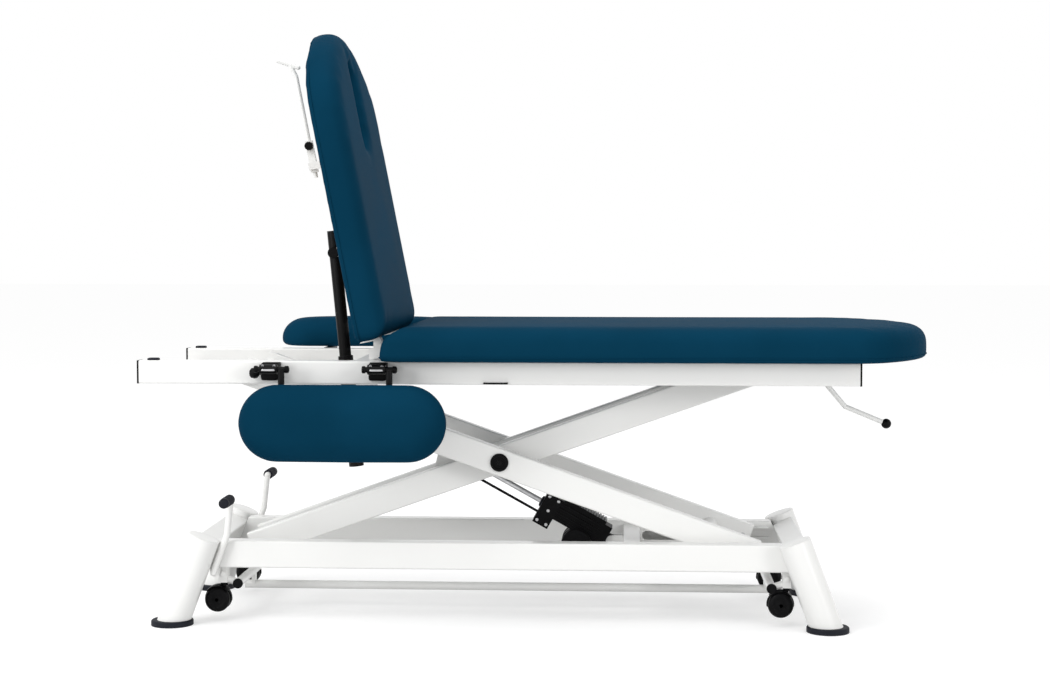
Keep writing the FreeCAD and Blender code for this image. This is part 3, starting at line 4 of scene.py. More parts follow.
import bmesh
import bpy
import numpy as np
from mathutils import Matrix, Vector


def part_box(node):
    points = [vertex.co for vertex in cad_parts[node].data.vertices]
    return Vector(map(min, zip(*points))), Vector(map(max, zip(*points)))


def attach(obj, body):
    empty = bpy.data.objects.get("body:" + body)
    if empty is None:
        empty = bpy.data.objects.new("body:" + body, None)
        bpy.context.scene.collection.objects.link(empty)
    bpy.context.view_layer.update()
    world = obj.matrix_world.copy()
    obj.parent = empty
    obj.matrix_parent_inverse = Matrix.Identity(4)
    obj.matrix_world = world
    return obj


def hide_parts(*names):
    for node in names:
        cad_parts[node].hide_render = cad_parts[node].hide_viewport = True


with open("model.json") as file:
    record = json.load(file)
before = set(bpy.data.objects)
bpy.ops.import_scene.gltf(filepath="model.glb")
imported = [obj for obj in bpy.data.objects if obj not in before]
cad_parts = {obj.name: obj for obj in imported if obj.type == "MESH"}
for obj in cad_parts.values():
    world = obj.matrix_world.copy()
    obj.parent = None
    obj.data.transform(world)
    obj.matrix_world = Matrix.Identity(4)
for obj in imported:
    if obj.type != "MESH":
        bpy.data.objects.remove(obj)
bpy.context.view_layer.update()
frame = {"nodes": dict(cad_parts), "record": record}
nodes = frame["nodes"]
scene = bpy.context.scene
print("frame loaded:", len(nodes), "nodes")

# lift geometry, repeated from the model in metres
lift = {
    "halfArm": 0.5824,
    "armAngle": math.radians(19.5),
    "pivotHeight": 0.157,
    "railRise": 0.0355,
    "legTilt": math.radians(20.5),
}
reach = lift["halfArm"] * math.cos(lift["armAngle"])
rise = lift["halfArm"] * math.sin(lift["armAngle"])
basePivot = np.array([-reach, 0, lift["pivotHeight"]])
centrePivot = np.array([0, 0, lift["pivotHeight"] + rise])
framePivot = np.array([-reach, 0, lift["pivotHeight"] + 2 * rise])
railTop = framePivot[2] + lift["railRise"]


# camera at the photograph's place
def addCamera():
    view = {"place": (0.2806, -4.206, 0.844), "yaw": 3.15, "pitch": 3.38, "lens": 63.85}
    data = bpy.data.cameras.new("photoCamera")
    data.lens = view["lens"]
    data.sensor_width = 36
    data.sensor_fit = "HORIZONTAL"
    camera = bpy.data.objects.new("photoCamera", data)
    camera.location = view["place"]
    camera.rotation_euler = (math.radians(90 - view["pitch"]), 0, math.radians(view["yaw"]))
    scene.collection.objects.link(camera)
    scene.camera = camera


addCamera()
scene.view_settings.view_transform = "Standard"
print("camera placed")


# materials
def newMaterial(name):
    material = bpy.data.materials.new(name)
    material.use_nodes = True
    tree = material.node_tree
    shader = tree.nodes["Principled BSDF"]
    place = tree.nodes.new("ShaderNodeTexCoord")
    return material, tree, shader, place


def noiseNode(tree, place, scale, detail, roughness=0.5):
    noise = tree.nodes.new("ShaderNodeTexNoise")
    noise.inputs["Scale"].default_value = scale
    noise.inputs["Detail"].default_value = detail
    noise.inputs["Roughness"].default_value = roughness
    tree.links.new(place.outputs["Object"], noise.inputs["Vector"])
    return noise


def rampNode(tree, source, stops):
    ramp = tree.nodes.new("ShaderNodeValToRGB")
    elements = ramp.color_ramp.elements
    while len(elements) < len(stops):
        elements.new(0.5)
    for element, (position, colour) in zip(elements, stops):
        element.position = position
        element.color = (*colour, 1)
    tree.links.new(source, ramp.inputs["Fac"])
    return ramp


def spreadNode(tree, source, low, high):
    spread = tree.nodes.new("ShaderNodeMapRange")
    spread.inputs["To Min"].default_value = low
    spread.inputs["To Max"].default_value = high
    tree.links.new(source, spread.inputs["Value"])
    return spread


def bumpNode(tree, shader, source, strength, distance, before=None):
    bump = tree.nodes.new("ShaderNodeBump")
    bump.inputs["Strength"].default_value = strength
    bump.inputs["Distance"].default_value = distance
    tree.links.new(source, bump.inputs["Height"])
    if before is not None:
        tree.links.new(before.outputs["Normal"], bump.inputs["Normal"])
    tree.links.new(bump.outputs["Normal"], shader.inputs["Normal"])
    return bump


def leatherette():
    look = {"shade": (0.0022, 0.030, 0.060), "lit": (0.0030, 0.037, 0.074), "grain": 950,
            "pores": 1700, "gloss": 0.52}
    material, tree, shader, place = newMaterial("petrolLeatherette")
    cloudy = noiseNode(tree, place, 5, 3)
    tint = rampNode(tree, cloudy.outputs["Fac"], [(0.30, look["shade"]), (0.72, look["lit"])])
    tree.links.new(tint.outputs["Color"], shader.inputs["Base Color"])
    grain = tree.nodes.new("ShaderNodeTexVoronoi")
    grain.feature = "DISTANCE_TO_EDGE"
    grain.inputs["Scale"].default_value = look["grain"]
    tree.links.new(place.outputs["Object"], grain.inputs["Vector"])
    creases = bumpNode(tree, shader, grain.outputs["Distance"], 0.16, 0.0004)
    pores = noiseNode(tree, place, look["pores"], 2)
    fine = bumpNode(tree, shader, pores.outputs["Fac"], 0.10, 0.0003, creases)
    soft = noiseNode(tree, place, 9, 2)
    bumpNode(tree, shader, soft.outputs["Fac"], 0.10, 0.004, fine)
    patchy = spreadNode(tree, cloudy.outputs["Fac"], look["gloss"] - 0.05, look["gloss"] + 0.08)
    tree.links.new(patchy.outputs["Result"], shader.inputs["Roughness"])
    shader.inputs["Specular IOR Level"].default_value = 0.004
    shader.inputs["Specular Tint"].default_value = (0.25, 0.75, 1.0, 1)
    return material


def powderCoat():
    look = {"low": (0.815, 0.815, 0.80), "high": (0.835, 0.835, 0.82), "peel": 260}
    material, tree, shader, place = newMaterial("whitePowderCoat")
    dust = noiseNode(tree, place, 3, 2)
    tint = rampNode(tree, dust.outputs["Fac"], [(0.35, look["low"]), (0.65, look["high"])])
    tree.links.new(tint.outputs["Color"], shader.inputs["Base Color"])
    peel = noiseNode(tree, place, look["peel"], 1)
    bumpNode(tree, shader, peel.outputs["Fac"], 0.10, 0.0006)
    rough = spreadNode(tree, dust.outputs["Fac"], 0.26, 0.31)
    tree.links.new(rough.outputs["Result"], shader.inputs["Roughness"])
    shader.inputs["Coat Weight"].default_value = 0.35
    shader.inputs["Coat Roughness"].default_value = 0.12
    return material


def blackFinish(name, colour, roughness, grain, depth, shine):
    material, tree, shader, place = newMaterial(name)
    smear = noiseNode(tree, place, 18, 4)
    light = tuple(1.7 * part for part in colour)
    tint = rampNode(tree, smear.outputs["Fac"], [(0.35, colour), (0.7, light)])
    tree.links.new(tint.outputs["Color"], shader.inputs["Base Color"])
    texture = noiseNode(tree, place, grain, 2)
    bumpNode(tree, shader, texture.outputs["Fac"], 0.22, depth)
    rough = spreadNode(tree, smear.outputs["Fac"], roughness - 0.07, roughness + 0.08)
    tree.links.new(rough.outputs["Result"], shader.inputs["Roughness"])
    shader.inputs["Specular IOR Level"].default_value = shine
    return material


def steelFinish():
    look = {"low": (0.42, 0.42, 0.43), "high": (0.62, 0.62, 0.63), "lines": 420}
    material, tree, shader, place = newMaterial("turnedSteel")
    lines = tree.nodes.new("ShaderNodeTexWave")
    lines.inputs["Scale"].default_value = look["lines"]
    lines.inputs["Distortion"].default_value = 3
    tree.links.new(place.outputs["Object"], lines.inputs["Vector"])
    smear = noiseNode(tree, place, 30, 3)
    tint = rampNode(tree, smear.outputs["Fac"],
                    [(0.3, look["low"]), (0.7, look["high"])])
    tree.links.new(tint.outputs["Color"], shader.inputs["Base Color"])
    bumpNode(tree, shader, lines.outputs["Fac"], 0.05, 0.0002)
    rough = spreadNode(tree, smear.outputs["Fac"], 0.22, 0.36)
    tree.links.new(rough.outputs["Result"], shader.inputs["Roughness"])
    shader.inputs["Metallic"].default_value = 1
    return material


def boardFinish():
    look = {"low": (0.11, 0.075, 0.045), "high": (0.20, 0.14, 0.085), "grain": 60}
    material, tree, shader, place = newMaterial("darkBoard")
    grain = noiseNode(tree, place, look["grain"], 5, 0.65)
    tint = rampNode(tree, grain.outputs["Fac"],
                    [(0.35, look["low"]), (0.7, look["high"])])
    tree.links.new(tint.outputs["Color"], shader.inputs["Base Color"])
    bumpNode(tree, shader, grain.outputs["Fac"], 0.2, 0.0005)
    shader.inputs["Roughness"].default_value = 0.7
    return material


# colour, roughness, grain scale, grain depth and shine of each dark finish
darkLooks = {
    "blackSteel": ("blackSteel", (0.0020, 0.0020, 0.0023), 0.36, 500, 0.0003, 0.12),
    "blackPlastic": ("blackPlastic", (0.0015, 0.0015, 0.0018), 0.44, 900, 0.0003, 0.09),
    "rubber": ("footRubber", (0.005, 0.006, 0.010), 0.60, 700, 0.0004, 0.20),
    "grey": ("greyPlastic", (0.17, 0.175, 0.18), 0.45, 600, 0.0003, 0.35),
}
finish = {
    "leather": leatherette(),
    "white": powderCoat(),
    "steel": steelFinish(),
    "board": boardFinish(),
}
for kind, row in darkLooks.items():
    finish[kind] = blackFinish(*row)
print("materials made:", len(finish))


# the carried nodes keep their shapes and get a finish
def dressNodes():
    recordSlots = {part["node"]: part["material_slot"] for part in frame["record"]["subparts"]}
    finishOf = {"white_steel": "white", "bare_steel": "steel", "black_steel": "blackSteel",
                "rubber": "rubber", "upholstery": "leather", "board": "board",
                "black_plastic": "blackPlastic"}
    for name, node in nodes.items():
        wanted = finish[finishOf[recordSlots[name]]]
        for materialSlot in node.material_slots:
            materialSlot.material = wanted


dressNodes()


# mesh helpers: a surface is a grid of points, rows along it and columns round or across it;
# each cell of the grid is one face, and the first and last rows are closed by one face each
def surface(name, grid, body, look, closeAcross=True, capEnds=True):
    rows, columns = grid.shape[:2]
    index = np.arange(rows * columns).reshape(rows, columns)
    if closeAcross:
        right = np.roll(index, -1, axis=1)
        a, b = index[:-1], right[:-1]
        c, e = right[1:], index[1:]
    else:
        a, b = index[:-1, :-1], index[:-1, 1:]
        c, e = index[1:, 1:], index[1:, :-1]
    faces = np.stack([a, b, c, e], axis=-1).reshape(-1, 4).tolist()
    if capEnds and closeAcross:
        faces.append(index[0][::-1].tolist())
        faces.append(index[-1].tolist())
    mesh = bpy.data.meshes.new(name)
    mesh.from_pydata(grid.reshape(-1, 3).tolist(), [], faces)
    mesh.update()
    piece = bpy.data.objects.new(name, mesh)
    scene.collection.objects.link(piece)
    if look is not None:
        mesh.materials.append(finish[look])
    mesh.polygons.foreach_set("use_smooth", [True] * len(mesh.polygons))
    outward(piece)
    mesh.set_sharp_from_angle(angle=math.radians(38))
    if body is not None:
        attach(piece, body)
    return piece


# doubles merged, then every face turned to point out of the closed shape
def outward(piece):
    work = bmesh.new()
    work.from_mesh(piece.data)
    bmesh.ops.remove_doubles(work, verts=work.verts, dist=1e-6)
    bmesh.ops.recalc_face_normals(work, faces=work.faces)
    work.to_mesh(piece.data)
    work.free()


# three unit vectors: along the direction and two square to it
def axesFor(direction):
    along = np.array(direction, dtype=float)
    along /= np.linalg.norm(along)
    helper = np.array([0, 0, 1.0]) if abs(along[2]) < 0.9 else np.array([1.0, 0, 0])
    first = np.cross(helper, along)
    first /= np.linalg.norm(first)
    return along, first, np.cross(along, first)


def turned(name, profile, start, direction, body, look, sides=40, wobble=None):
    # point = start + distance * axis + radius * (cos * first + sin * second), for each pair
    # (distance, radius) of the profile; wobble scales the radius by angle, for flutes
    along, first, second = axesFor(direction)
    angle = np.linspace(0, 2 * math.pi, sides, endpoint=False)
    profile = np.array(profile, dtype=float)
    radius = profile[:, 1:2] * (np.ones((1, sides)) if wobble is None else wobble(angle))
    ring = (np.cos(angle)[None, :, None] * first + np.sin(angle)[None, :, None] * second)
    grid = (np.array(start, dtype=float) + profile[:, 0][:, None, None] * along
            + radius[:, :, None] * ring)
    ringed = bool(np.allclose(profile[0], profile[-1]))
    return surface(name, grid, body, look, capEnds=not ringed)


def fluted(depth, count):
    # a radius that swings by the depth as a cosine, so many times a turn
    return lambda angle: 1 + depth * np.cos(count * angle)[None, :]


def roundedCorners(angle, power):
    # a superellipse: the cosine and the sine, each raised to the power with its sign kept
    across = np.sign(np.cos(angle)) * np.abs(np.cos(angle)) ** power
    upward = np.sign(np.sin(angle)) * np.abs(np.sin(angle)) ** power
    return across, upward


def fullTurn(count):
    return np.linspace(0, 2 * math.pi, count, endpoint=False)


# pads: an outline is walked round, and rows of it are drawn in over the edges
def bowedOutline(length, halfWidth, bow, corner, heel, count=120):
    # straight sides, one bowed end of two radii and a square end with small corners
    inner = bow - corner
    drop = halfWidth - corner
    centreX = length - bow
    cornerX = centreX + math.sqrt(inner ** 2 - drop ** 2)
    swing = math.atan2(drop, cornerX - centreX)
    pieces = [
        np.stack([np.linspace(heel, cornerX, count), np.full(count, -halfWidth)], 1),
        arcPoints(cornerX, -drop, corner, -math.pi / 2, -swing, count // 2),
        arcPoints(centreX, 0, bow, -swing, swing, count),
        arcPoints(cornerX, drop, corner, swing, math.pi / 2, count // 2),
        np.stack([np.linspace(cornerX, heel, count), np.full(count, halfWidth)], 1),
        arcPoints(heel, halfWidth - heel, heel, math.pi / 2, math.pi, count // 4),
        np.stack([np.zeros(count // 2), np.linspace(halfWidth - heel, heel - halfWidth,
                                                    count // 2)], 1),
        arcPoints(heel, heel - halfWidth, heel, math.pi, 1.5 * math.pi, count // 4),
    ]
    return evenly(np.concatenate(pieces))


def stadiumOutline(length, width, count=80):
    # two straight sides joined by half circles as wide as the pad
    half = (length - width) / 2
    radius = width / 2
    return evenly(np.concatenate([
        np.stack([np.linspace(-half, half, count), np.full(count, -radius)], 1),
        arcPoints(half, 0, radius, -math.pi / 2, math.pi / 2, count),
        np.stack([np.linspace(half, -half, count), np.full(count, radius)], 1),
        arcPoints(-half, 0, radius, math.pi / 2, 1.5 * math.pi, count)]))


def arcPoints(x, y, radius, start, end, count):
    # centre + radius * (cosine, sine), from the start angle to the end angle
    angle = np.linspace(start, end, count)
    return np.stack([x + radius * np.cos(angle), y + radius * np.sin(angle)], 1)


def evenly(outline, count=320):
    # the same outline with points at equal steps of the distance walked round it
    closed = np.vstack([outline, outline[:1]])
    step = np.linalg.norm(np.diff(closed, axis=0), axis=1)
    keep = np.concatenate([[True], step > 1e-7])
    closed = closed[keep]
    travelled = np.concatenate([[0], np.cumsum(np.linalg.norm(np.diff(closed, axis=0), axis=1))])
    wanted = np.linspace(0, travelled[-1], count, endpoint=False)
    return np.stack([np.interp(wanted, travelled, closed[:, k]) for k in (0, 1)], 1)


def edgeNormals(outline):
    # unit vectors out of the outline, square to the line between each point's neighbours
    ahead = np.roll(outline, -1, axis=0) - np.roll(outline, 1, axis=0)
    normal = np.stack([ahead[:, 1], -ahead[:, 0]], 1)
    normal /= np.linalg.norm(normal, axis=1)[:, None]
    return normal


def padGrid(outline, thickness, edge, underRadius, crown, spine):
    # rows from the middle of the underside, over the edge, to the middle of the top: over
    # the edge the outline moves in by run * (1 - cos) while it climbs by rise * sin, and on
    # the top it shrinks towards the spine while the crown grows as 1 - share squared
    normal = edgeNormals(outline)
    low = np.linspace(0, math.pi / 2, 7)
    insets = [(underRadius * (1 - math.sin(a)), underRadius * (1 - math.cos(a))) for a in low]
    run, rise = edge
    high = np.linspace(0, math.pi / 2, 17)
    insets += [(run * (1 - math.cos(a)), thickness - rise * (1 - math.sin(a))) for a in high]
    rows = [np.column_stack([outline - normal * inset, np.full(len(outline), height)])
            for inset, height in insets]
    middle = np.column_stack([np.clip(outline[:, 0], spine[0], spine[1]),
                              np.zeros(len(outline))])
    shrink = np.linspace(1, 0, 14)[1:]
    under = [np.column_stack([middle + (rows[0][:, :2] - middle) * k,
                              np.zeros(len(outline))]) for k in shrink][::-1]
    top = [np.column_stack([middle + (rows[-1][:, :2] - middle) * k,
                            np.full(len(outline), thickness + crown * (1 - k * k))])
           for k in shrink]
    return np.array(under + rows + top)


def carried(points, origin, x, y, z):
    # origin + x, y and z parts of each point along the three given directions
    basis = np.array([x, y, z], dtype=float)
    return np.array(origin, dtype=float) + points @ basis


def applied(piece):
    shown = bpy.context.evaluated_depsgraph_get()
    mesh = bpy.data.meshes.new_from_object(piece.evaluated_get(shown))
    piece.modifiers.clear()
    piece.data = mesh


def readPoints(mesh):
    flat = np.empty(3 * len(mesh.vertices))
    mesh.vertices.foreach_get("co", flat)
    return flat.reshape(-1, 3)


def stuffed(piece, voxel, cap, upward):
    # foam under a stretched cover: remesh, blow up with cloth, and limit the swelling
    cover = {"pressure": 4, "quality": 5, "tension": 25, "bending": 2, "frames": 14,
             "heldHeight": 0.006, "smoothing": 6}
    remesh = piece.modifiers.new("even", "REMESH")
    remesh.mode = "VOXEL"
    remesh.voxel_size = voxel
    applied(piece)
    before = readPoints(piece.data)
    height = before @ np.array(upward, dtype=float)
    pinned = np.nonzero(height < height.min() + cover["heldHeight"])[0]
    hold = piece.vertex_groups.new(name="held")
    hold.add(pinned.tolist(), 1.0, "REPLACE")
    cloth = piece.modifiers.new("cover", "CLOTH")
    cloth.settings.use_pressure = True
    cloth.settings.uniform_pressure_force = cover["pressure"]
    cloth.settings.effector_weights.gravity = 0
    cloth.settings.vertex_group_mass = "held"
    cloth.settings.quality = cover["quality"]
    cloth.settings.tension_stiffness = cover["tension"]
    cloth.settings.bending_stiffness = cover["bending"]
    for number in range(1, cover["frames"] + 1):
        scene.frame_set(number)
    applied(piece)
    after = readPoints(piece.data)
    moved = after - before
    size = np.linalg.norm(moved, axis=1)[:, None]
    limited = before + moved * np.minimum(1, cap / np.maximum(size, 1e-9))
    piece.data.vertices.foreach_set("co", limited.ravel())
    scene.frame_set(1)
    smooth = piece.modifiers.new("even", "SMOOTH")
    smooth.factor = 0.5
    smooth.iterations = cover["smoothing"]
    applied(piece)
    piece.data.polygons.foreach_set("use_smooth", [True] * len(piece.data.polygons))
    fine = piece.modifiers.new("fine", "SUBSURF")
    fine.levels = 1
    fine.render_levels = 1
    piece.data.materials.clear()
    piece.data.materials.append(finish["leather"])


def seam(name, outline, inset, height, frameAxes, body):
    # the stitched edge where the cover turns under the pad: a thin ring of
    # radius * (cos * outward normal + sin * up) carried round the outline
    normal = edgeNormals(outline)
    line = np.column_stack([outline - normal * inset, np.full(len(outline), height)])
    angle = fullTurn(8)
    radius = 0.0011
    flat = np.column_stack([normal, 0 * normal[:, :1]])
    ring = (line[:, None, :]
            + radius * np.cos(angle)[None, :, None] * flat[:, None, :]
            + radius * np.sin(angle)[None, :, None] * np.array([0, 0, 1.0]))
    grid = np.vstack([ring, ring[:1]])
    return surface(name, carried(grid, *frameAxes), body, "leather", capEnds=False)


# what both long pads share: the bowed end's two radii and the small corners of the square end
longPad = {"bow": 0.400, "corner": 0.120, "heel": 0.020, "edge": (0.034, 0.034),
           "crown": 0.001, "seamInset": 0.0035, "seamHeight": 0.010, "fill": 0.95}


def longOutline(size):
    return bowedOutline(size["length"], size["half"] - size["sideSwell"], longPad["bow"],
                        longPad["corner"], longPad["heel"])


def seatPad():
    size = {"length": 1.197, "half": 0.311, "thickness": 0.075, "start": -0.249,
            "under": 0.012, "sideSwell": 0.001, "topSwell": 0.003, "gap": 0.0005,
            "headRun": 0.046, "headLow": 0.014, "headReach": 0.22, "spine": (0.25, 0.9),
            "voxel": 0.009, "swell": 0.0035}
    outline = longOutline(size)
    grid = padGrid(outline, size["thickness"] - size["topSwell"], longPad["edge"],
                   size["under"], longPad["crown"], size["spine"])
    # the head end leans back: shift = run * (1 - sqrt(1 - climb squared)), fading with
    # the square of the distance from that end
    climb = np.clip((grid[..., 2] - size["headLow"]) / (size["thickness"] - size["headLow"]),
                    0, 1)
    near = np.clip(1 - grid[..., 0] / size["headReach"], 0, 1) ** 2
    grid[..., 0] += near * size["headRun"] * (1 - np.sqrt(1 - climb ** 2))
    axes = ((size["start"], 0, railTop + size["gap"]), (1, 0, 0), (0, 1, 0), (0, 0, 1))
    pad = surface("seatCushion", carried(grid, *axes), None, None)
    stuffed(pad, size["voxel"], size["swell"], (0, 0, 1))
    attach(pad, "upper_frame")
    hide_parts("seat_pad")
    seam("seatSeam", outline, longPad["seamInset"], longPad["seamHeight"], axes,
         "upper_frame")


# the backrest's hinge, the direction up it and the direction out of its front, at rest
def backAxes():
    lean = math.radians(79)
    along = np.array([-math.cos(lean), 0, math.sin(lean)])
    outwardAxis = np.array([math.sin(lean), 0, math.cos(lean)])
    hinge = np.array([-0.265, 0, railTop + 0.0405])  # the pivot line above the rails
    return hinge, along, outwardAxis


def backPad():
    hinge, along, out = backAxes()
    size = {"length": 0.690, "half": 0.311, "thickness": 0.070, "start": 0.003,
            "rear": 0.029, "under": 0.014, "sideSwell": 0.001, "topSwell": 0.002,
            "spine": (0.25, 0.42), "boardHalf": 0.215, "boardFade": 0.012,
            "boardRoom": 0.0045, "voxel": 0.008, "swell": 0.003}
    hole = {"length": 0.196, "width": 0.096, "place": 0.523, "low": -0.05, "high": 0.15}
    notch = {"y": 0.153, "half": 0.018, "start": -0.02, "end": 0.032, "low": -0.03,
             "high": 0.034}
    outline = longOutline(size)
    grid = padGrid(outline, size["thickness"] - size["topSwell"], longPad["edge"],
                   size["under"], longPad["crown"], size["spine"])
    # the underside is raised over the board, fading out at the board's sides
    over = np.clip((size["boardHalf"] - np.abs(grid[..., 1])) / size["boardFade"], 0, 1)
    grid[..., 2] = np.maximum(grid[..., 2], size["boardRoom"] * over)
    axes = (hinge + along * size["start"] - out * size["rear"], along, (0, -1, 0), out)
    pad = surface("backCushion", carried(grid, *axes), None, None)
    rim = stadiumOutline(hole["length"], hole["width"])[::3] + np.array([hole["place"], 0])
    walls = np.array([np.column_stack([rim, np.full(len(rim), z)])
                      for z in (hole["low"], hole["high"])])
    cutter = surface("holeCutter", carried(walls, *axes), None, None)
    for number, y in enumerate((-notch["y"], notch["y"])):
        left, right = y - notch["half"], y + notch["half"]
        walls = np.array([[[notch["start"], left, z], [notch["end"], left, z],
                           [notch["end"], right, z], [notch["start"], right, z]]
                          for z in (notch["low"], notch["high"])])
        subtract(pad, surface("notch%d" % number, carried(walls, *axes), None, None))
    subtract(pad, cutter)
    stuffed(pad, size["voxel"], size["swell"], out)
    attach(pad, "backrest")
    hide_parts("back_pad")
    seam("backSeam", outline, longPad["seamInset"], longPad["seamHeight"], axes, "backrest")


def subtract(piece, tool):
    opening = piece.modifiers.new("opening", "BOOLEAN")
    opening.operation = "DIFFERENCE"
    opening.solver = "EXACT"
    opening.object = tool
    applied(piece)
    bpy.data.objects.remove(tool)


# armrests: where the two pads lie from their pivot lines, and the clamps on the posts
armrest = {"pivotY": 0.286, "pivotDrop": 0.0155, "postMiddle": -0.3385,
           "postSpread": 0.1155, "nearX": -0.32, "farX": -0.357, "board": 0.014,
           "reach": 0.029}
armPivotZ = railTop - armrest["pivotDrop"]


def armPad(name, node, body, centre, axes):
    size = {"length": 0.444, "width": 0.166, "thickness": 0.070, "swell": 0.002,
            "edge": (0.058, 0.050), "under": 0.014, "crown": 0.001, "spine": (-0.13, 0.13),
            "voxel": 0.005, "cap": 0.003, "seamInset": 0.003, "seamHeight": 0.012}
    outline = stadiumOutline(size["length"] - size["swell"], size["width"] - size["swell"])
    grid = padGrid(outline, size["thickness"] - size["swell"], size["edge"], size["under"],
                   size["crown"], size["spine"])
    place = (np.array(centre) - np.array(axes[2]) * size["thickness"] / 2, *axes)
    pad = surface(name, carried(grid, *place), None, None)
    stuffed(pad, size["voxel"], size["cap"], axes[2])
    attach(pad, body)
    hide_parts(node)
    seam(name + "Seam", outline, size["seamInset"], size["seamHeight"], place, body)


seatPad()
print("seat cushion done")
backPad()
print("back cushion done")
padHalves = {"thickness": 0.035, "width": 0.083}
armPad("nearArmCushion", "armrest_pad_near", "armrest_near",
       (armrest["nearX"], -armrest["pivotY"] - armrest["board"] - padHalves["thickness"],
        armPivotZ - armrest["reach"] - padHalves["width"]),
       ((1, 0, 0), (0, 0, 1), (0, -1, 0)))
armPad("farArmCushion", "armrest_pad_far", "armrest_far",
       (armrest["farX"], armrest["pivotY"] + armrest["reach"] + padHalves["width"],
        armPivotZ + armrest["board"] + padHalves["thickness"]),
       ((1, 0, 0), (0, 1, 0), (0, 0, 1)))
print("arm cushions done")


# scissor: round caps on the middle pivot, bolts and washers at the other pivots
def pivotTrim():
    size = {"capFace": 0.139, "screwSink": 0.0019, "washerY": 0.1452, "railCapY": 0.153}
    ring = [(0, 0.0135), (0, 0.0185), (0.0012, 0.0190), (0.0022, 0.0180),
            (0.0024, 0.0140), (0, 0.0135)]
    screw = [(0, 0.0), (0, 0.0062), (0.0022, 0.0058), (0.0022, 0.0034), (0.0006, 0.0030),
             (0.0006, 0.0)]
    washer = [(0, 0.0), (0, 0.0135), (0.0012, 0.0135), (0.0016, 0.0128), (0.0016, 0.0)]
    railCap = [(0, 0.0), (0, 0.0125), (0.0022, 0.0120), (0.0030, 0.0095), (0.0030, 0.0)]
    for sign in (-1, 1):
        face = np.array([0, sign * size["capFace"], 0])
        out = (0, sign, 0)
        turned("pivotRing%d" % (sign + 1), ring, centrePivot + face, out, "outer",
               "blackPlastic", 48)
        turned("pivotScrew%d" % (sign + 1), screw,
               centrePivot + face - np.array([0, sign * size["screwSink"], 0]), out,
               "outer", "blackSteel", 6)
        turned("frameWasher%d" % (sign + 1), washer,
               framePivot + np.array([0, sign * size["washerY"], 0]), out, "upper_frame",
               "steel")
        turned("railPivotCap%d" % (sign + 1), railCap,
               basePivot + np.array([0, sign * size["railCapY"], 0]), (0, -sign, 0),
               "root", "blackPlastic", 40)


pivotTrim()


# legs: a lid on each, a moulded foot ring and a weld line at the beams
def legTrim():
    tilt = lift["legTilt"]
    size = {"footX": 0.713, "legY": 0.215, "length": 0.205, "radius": 0.035,
            "floorGap": 0.00002}
    lid = [(-0.0005, 0.0), (-0.0005, 0.0346), (0.0008, 0.0348), (0.0018, 0.0338),
           (0.0024, 0.0300), (0.0028, 0.0)]
    ring = [(0, 0.0300), (0, 0.0452), (0.0030, 0.0459), (0.0070, 0.0456),
            (0.0105, 0.0440), (0.0119, 0.0415), (0.0119, 0.0300)]
    for end in (-1, 1):
        direction = np.array([-end * math.sin(tilt), 0, math.cos(tilt)])
        for sign in (-1, 1):
            tag = "%s%s" % ("Head" if end < 0 else "Foot", "Near" if sign < 0 else "Far")
            foot = np.array([end * size["footX"], sign * size["legY"], 0])
            turned("legLid" + tag, lid, foot + direction * size["length"], direction,
                   "root", "white", 64)
            turned("footRing" + tag, ring, foot + np.array([0, 0, size["floorGap"]]),
                   (0, 0, 1), "root", "rubber", 72)
            weld(tag, foot, direction, sign, size["radius"])


def weld(tag, foot, direction, sign, legRadius):
    # a bead where the end beam meets the round leg: the beam's section, a superellipse,
    # laid on the leg's cylinder at a depth of sqrt(leg radius squared - across squared)
    bead = {"halfWide": 0.0255, "halfHigh": 0.0305, "power": 0.16, "height": 0.15225,
            "radius": 0.0016, "ripple": 0.0003, "ripples": 60}
    angle = fullTurn(120)
    across, upward = roundedCorners(angle, bead["power"])
    across, upward = bead["halfWide"] * across, bead["halfHigh"] * upward
    centre = foot + direction * (bead["height"] / direction[2])
    sideways = np.array([direction[2], 0, -direction[0]])
    depth = np.sqrt(legRadius ** 2 - across ** 2)
    path = (centre + across[:, None] * sideways + upward[:, None] * direction
            - np.array([0, sign, 0]) * depth[:, None])
    thick = bead["radius"] + bead["ripple"] * np.sin(bead["ripples"] * angle)
    spin = fullTurn(8)
    radial = (path - centre)
    radial[:, 1] = 0
    radial /= np.linalg.norm(radial, axis=1)[:, None]
    ring = (path[:, None, :] + thick[:, None, None]
            * (np.cos(spin)[None, :, None] * radial[:, None, :]
               + np.sin(spin)[None, :, None] * np.array([0, 1.0, 0])))
    surface("weld" + tag, np.vstack([ring, ring[:1]]), "root", "white", capEnds=False)


legTrim()
print("legs dressed")


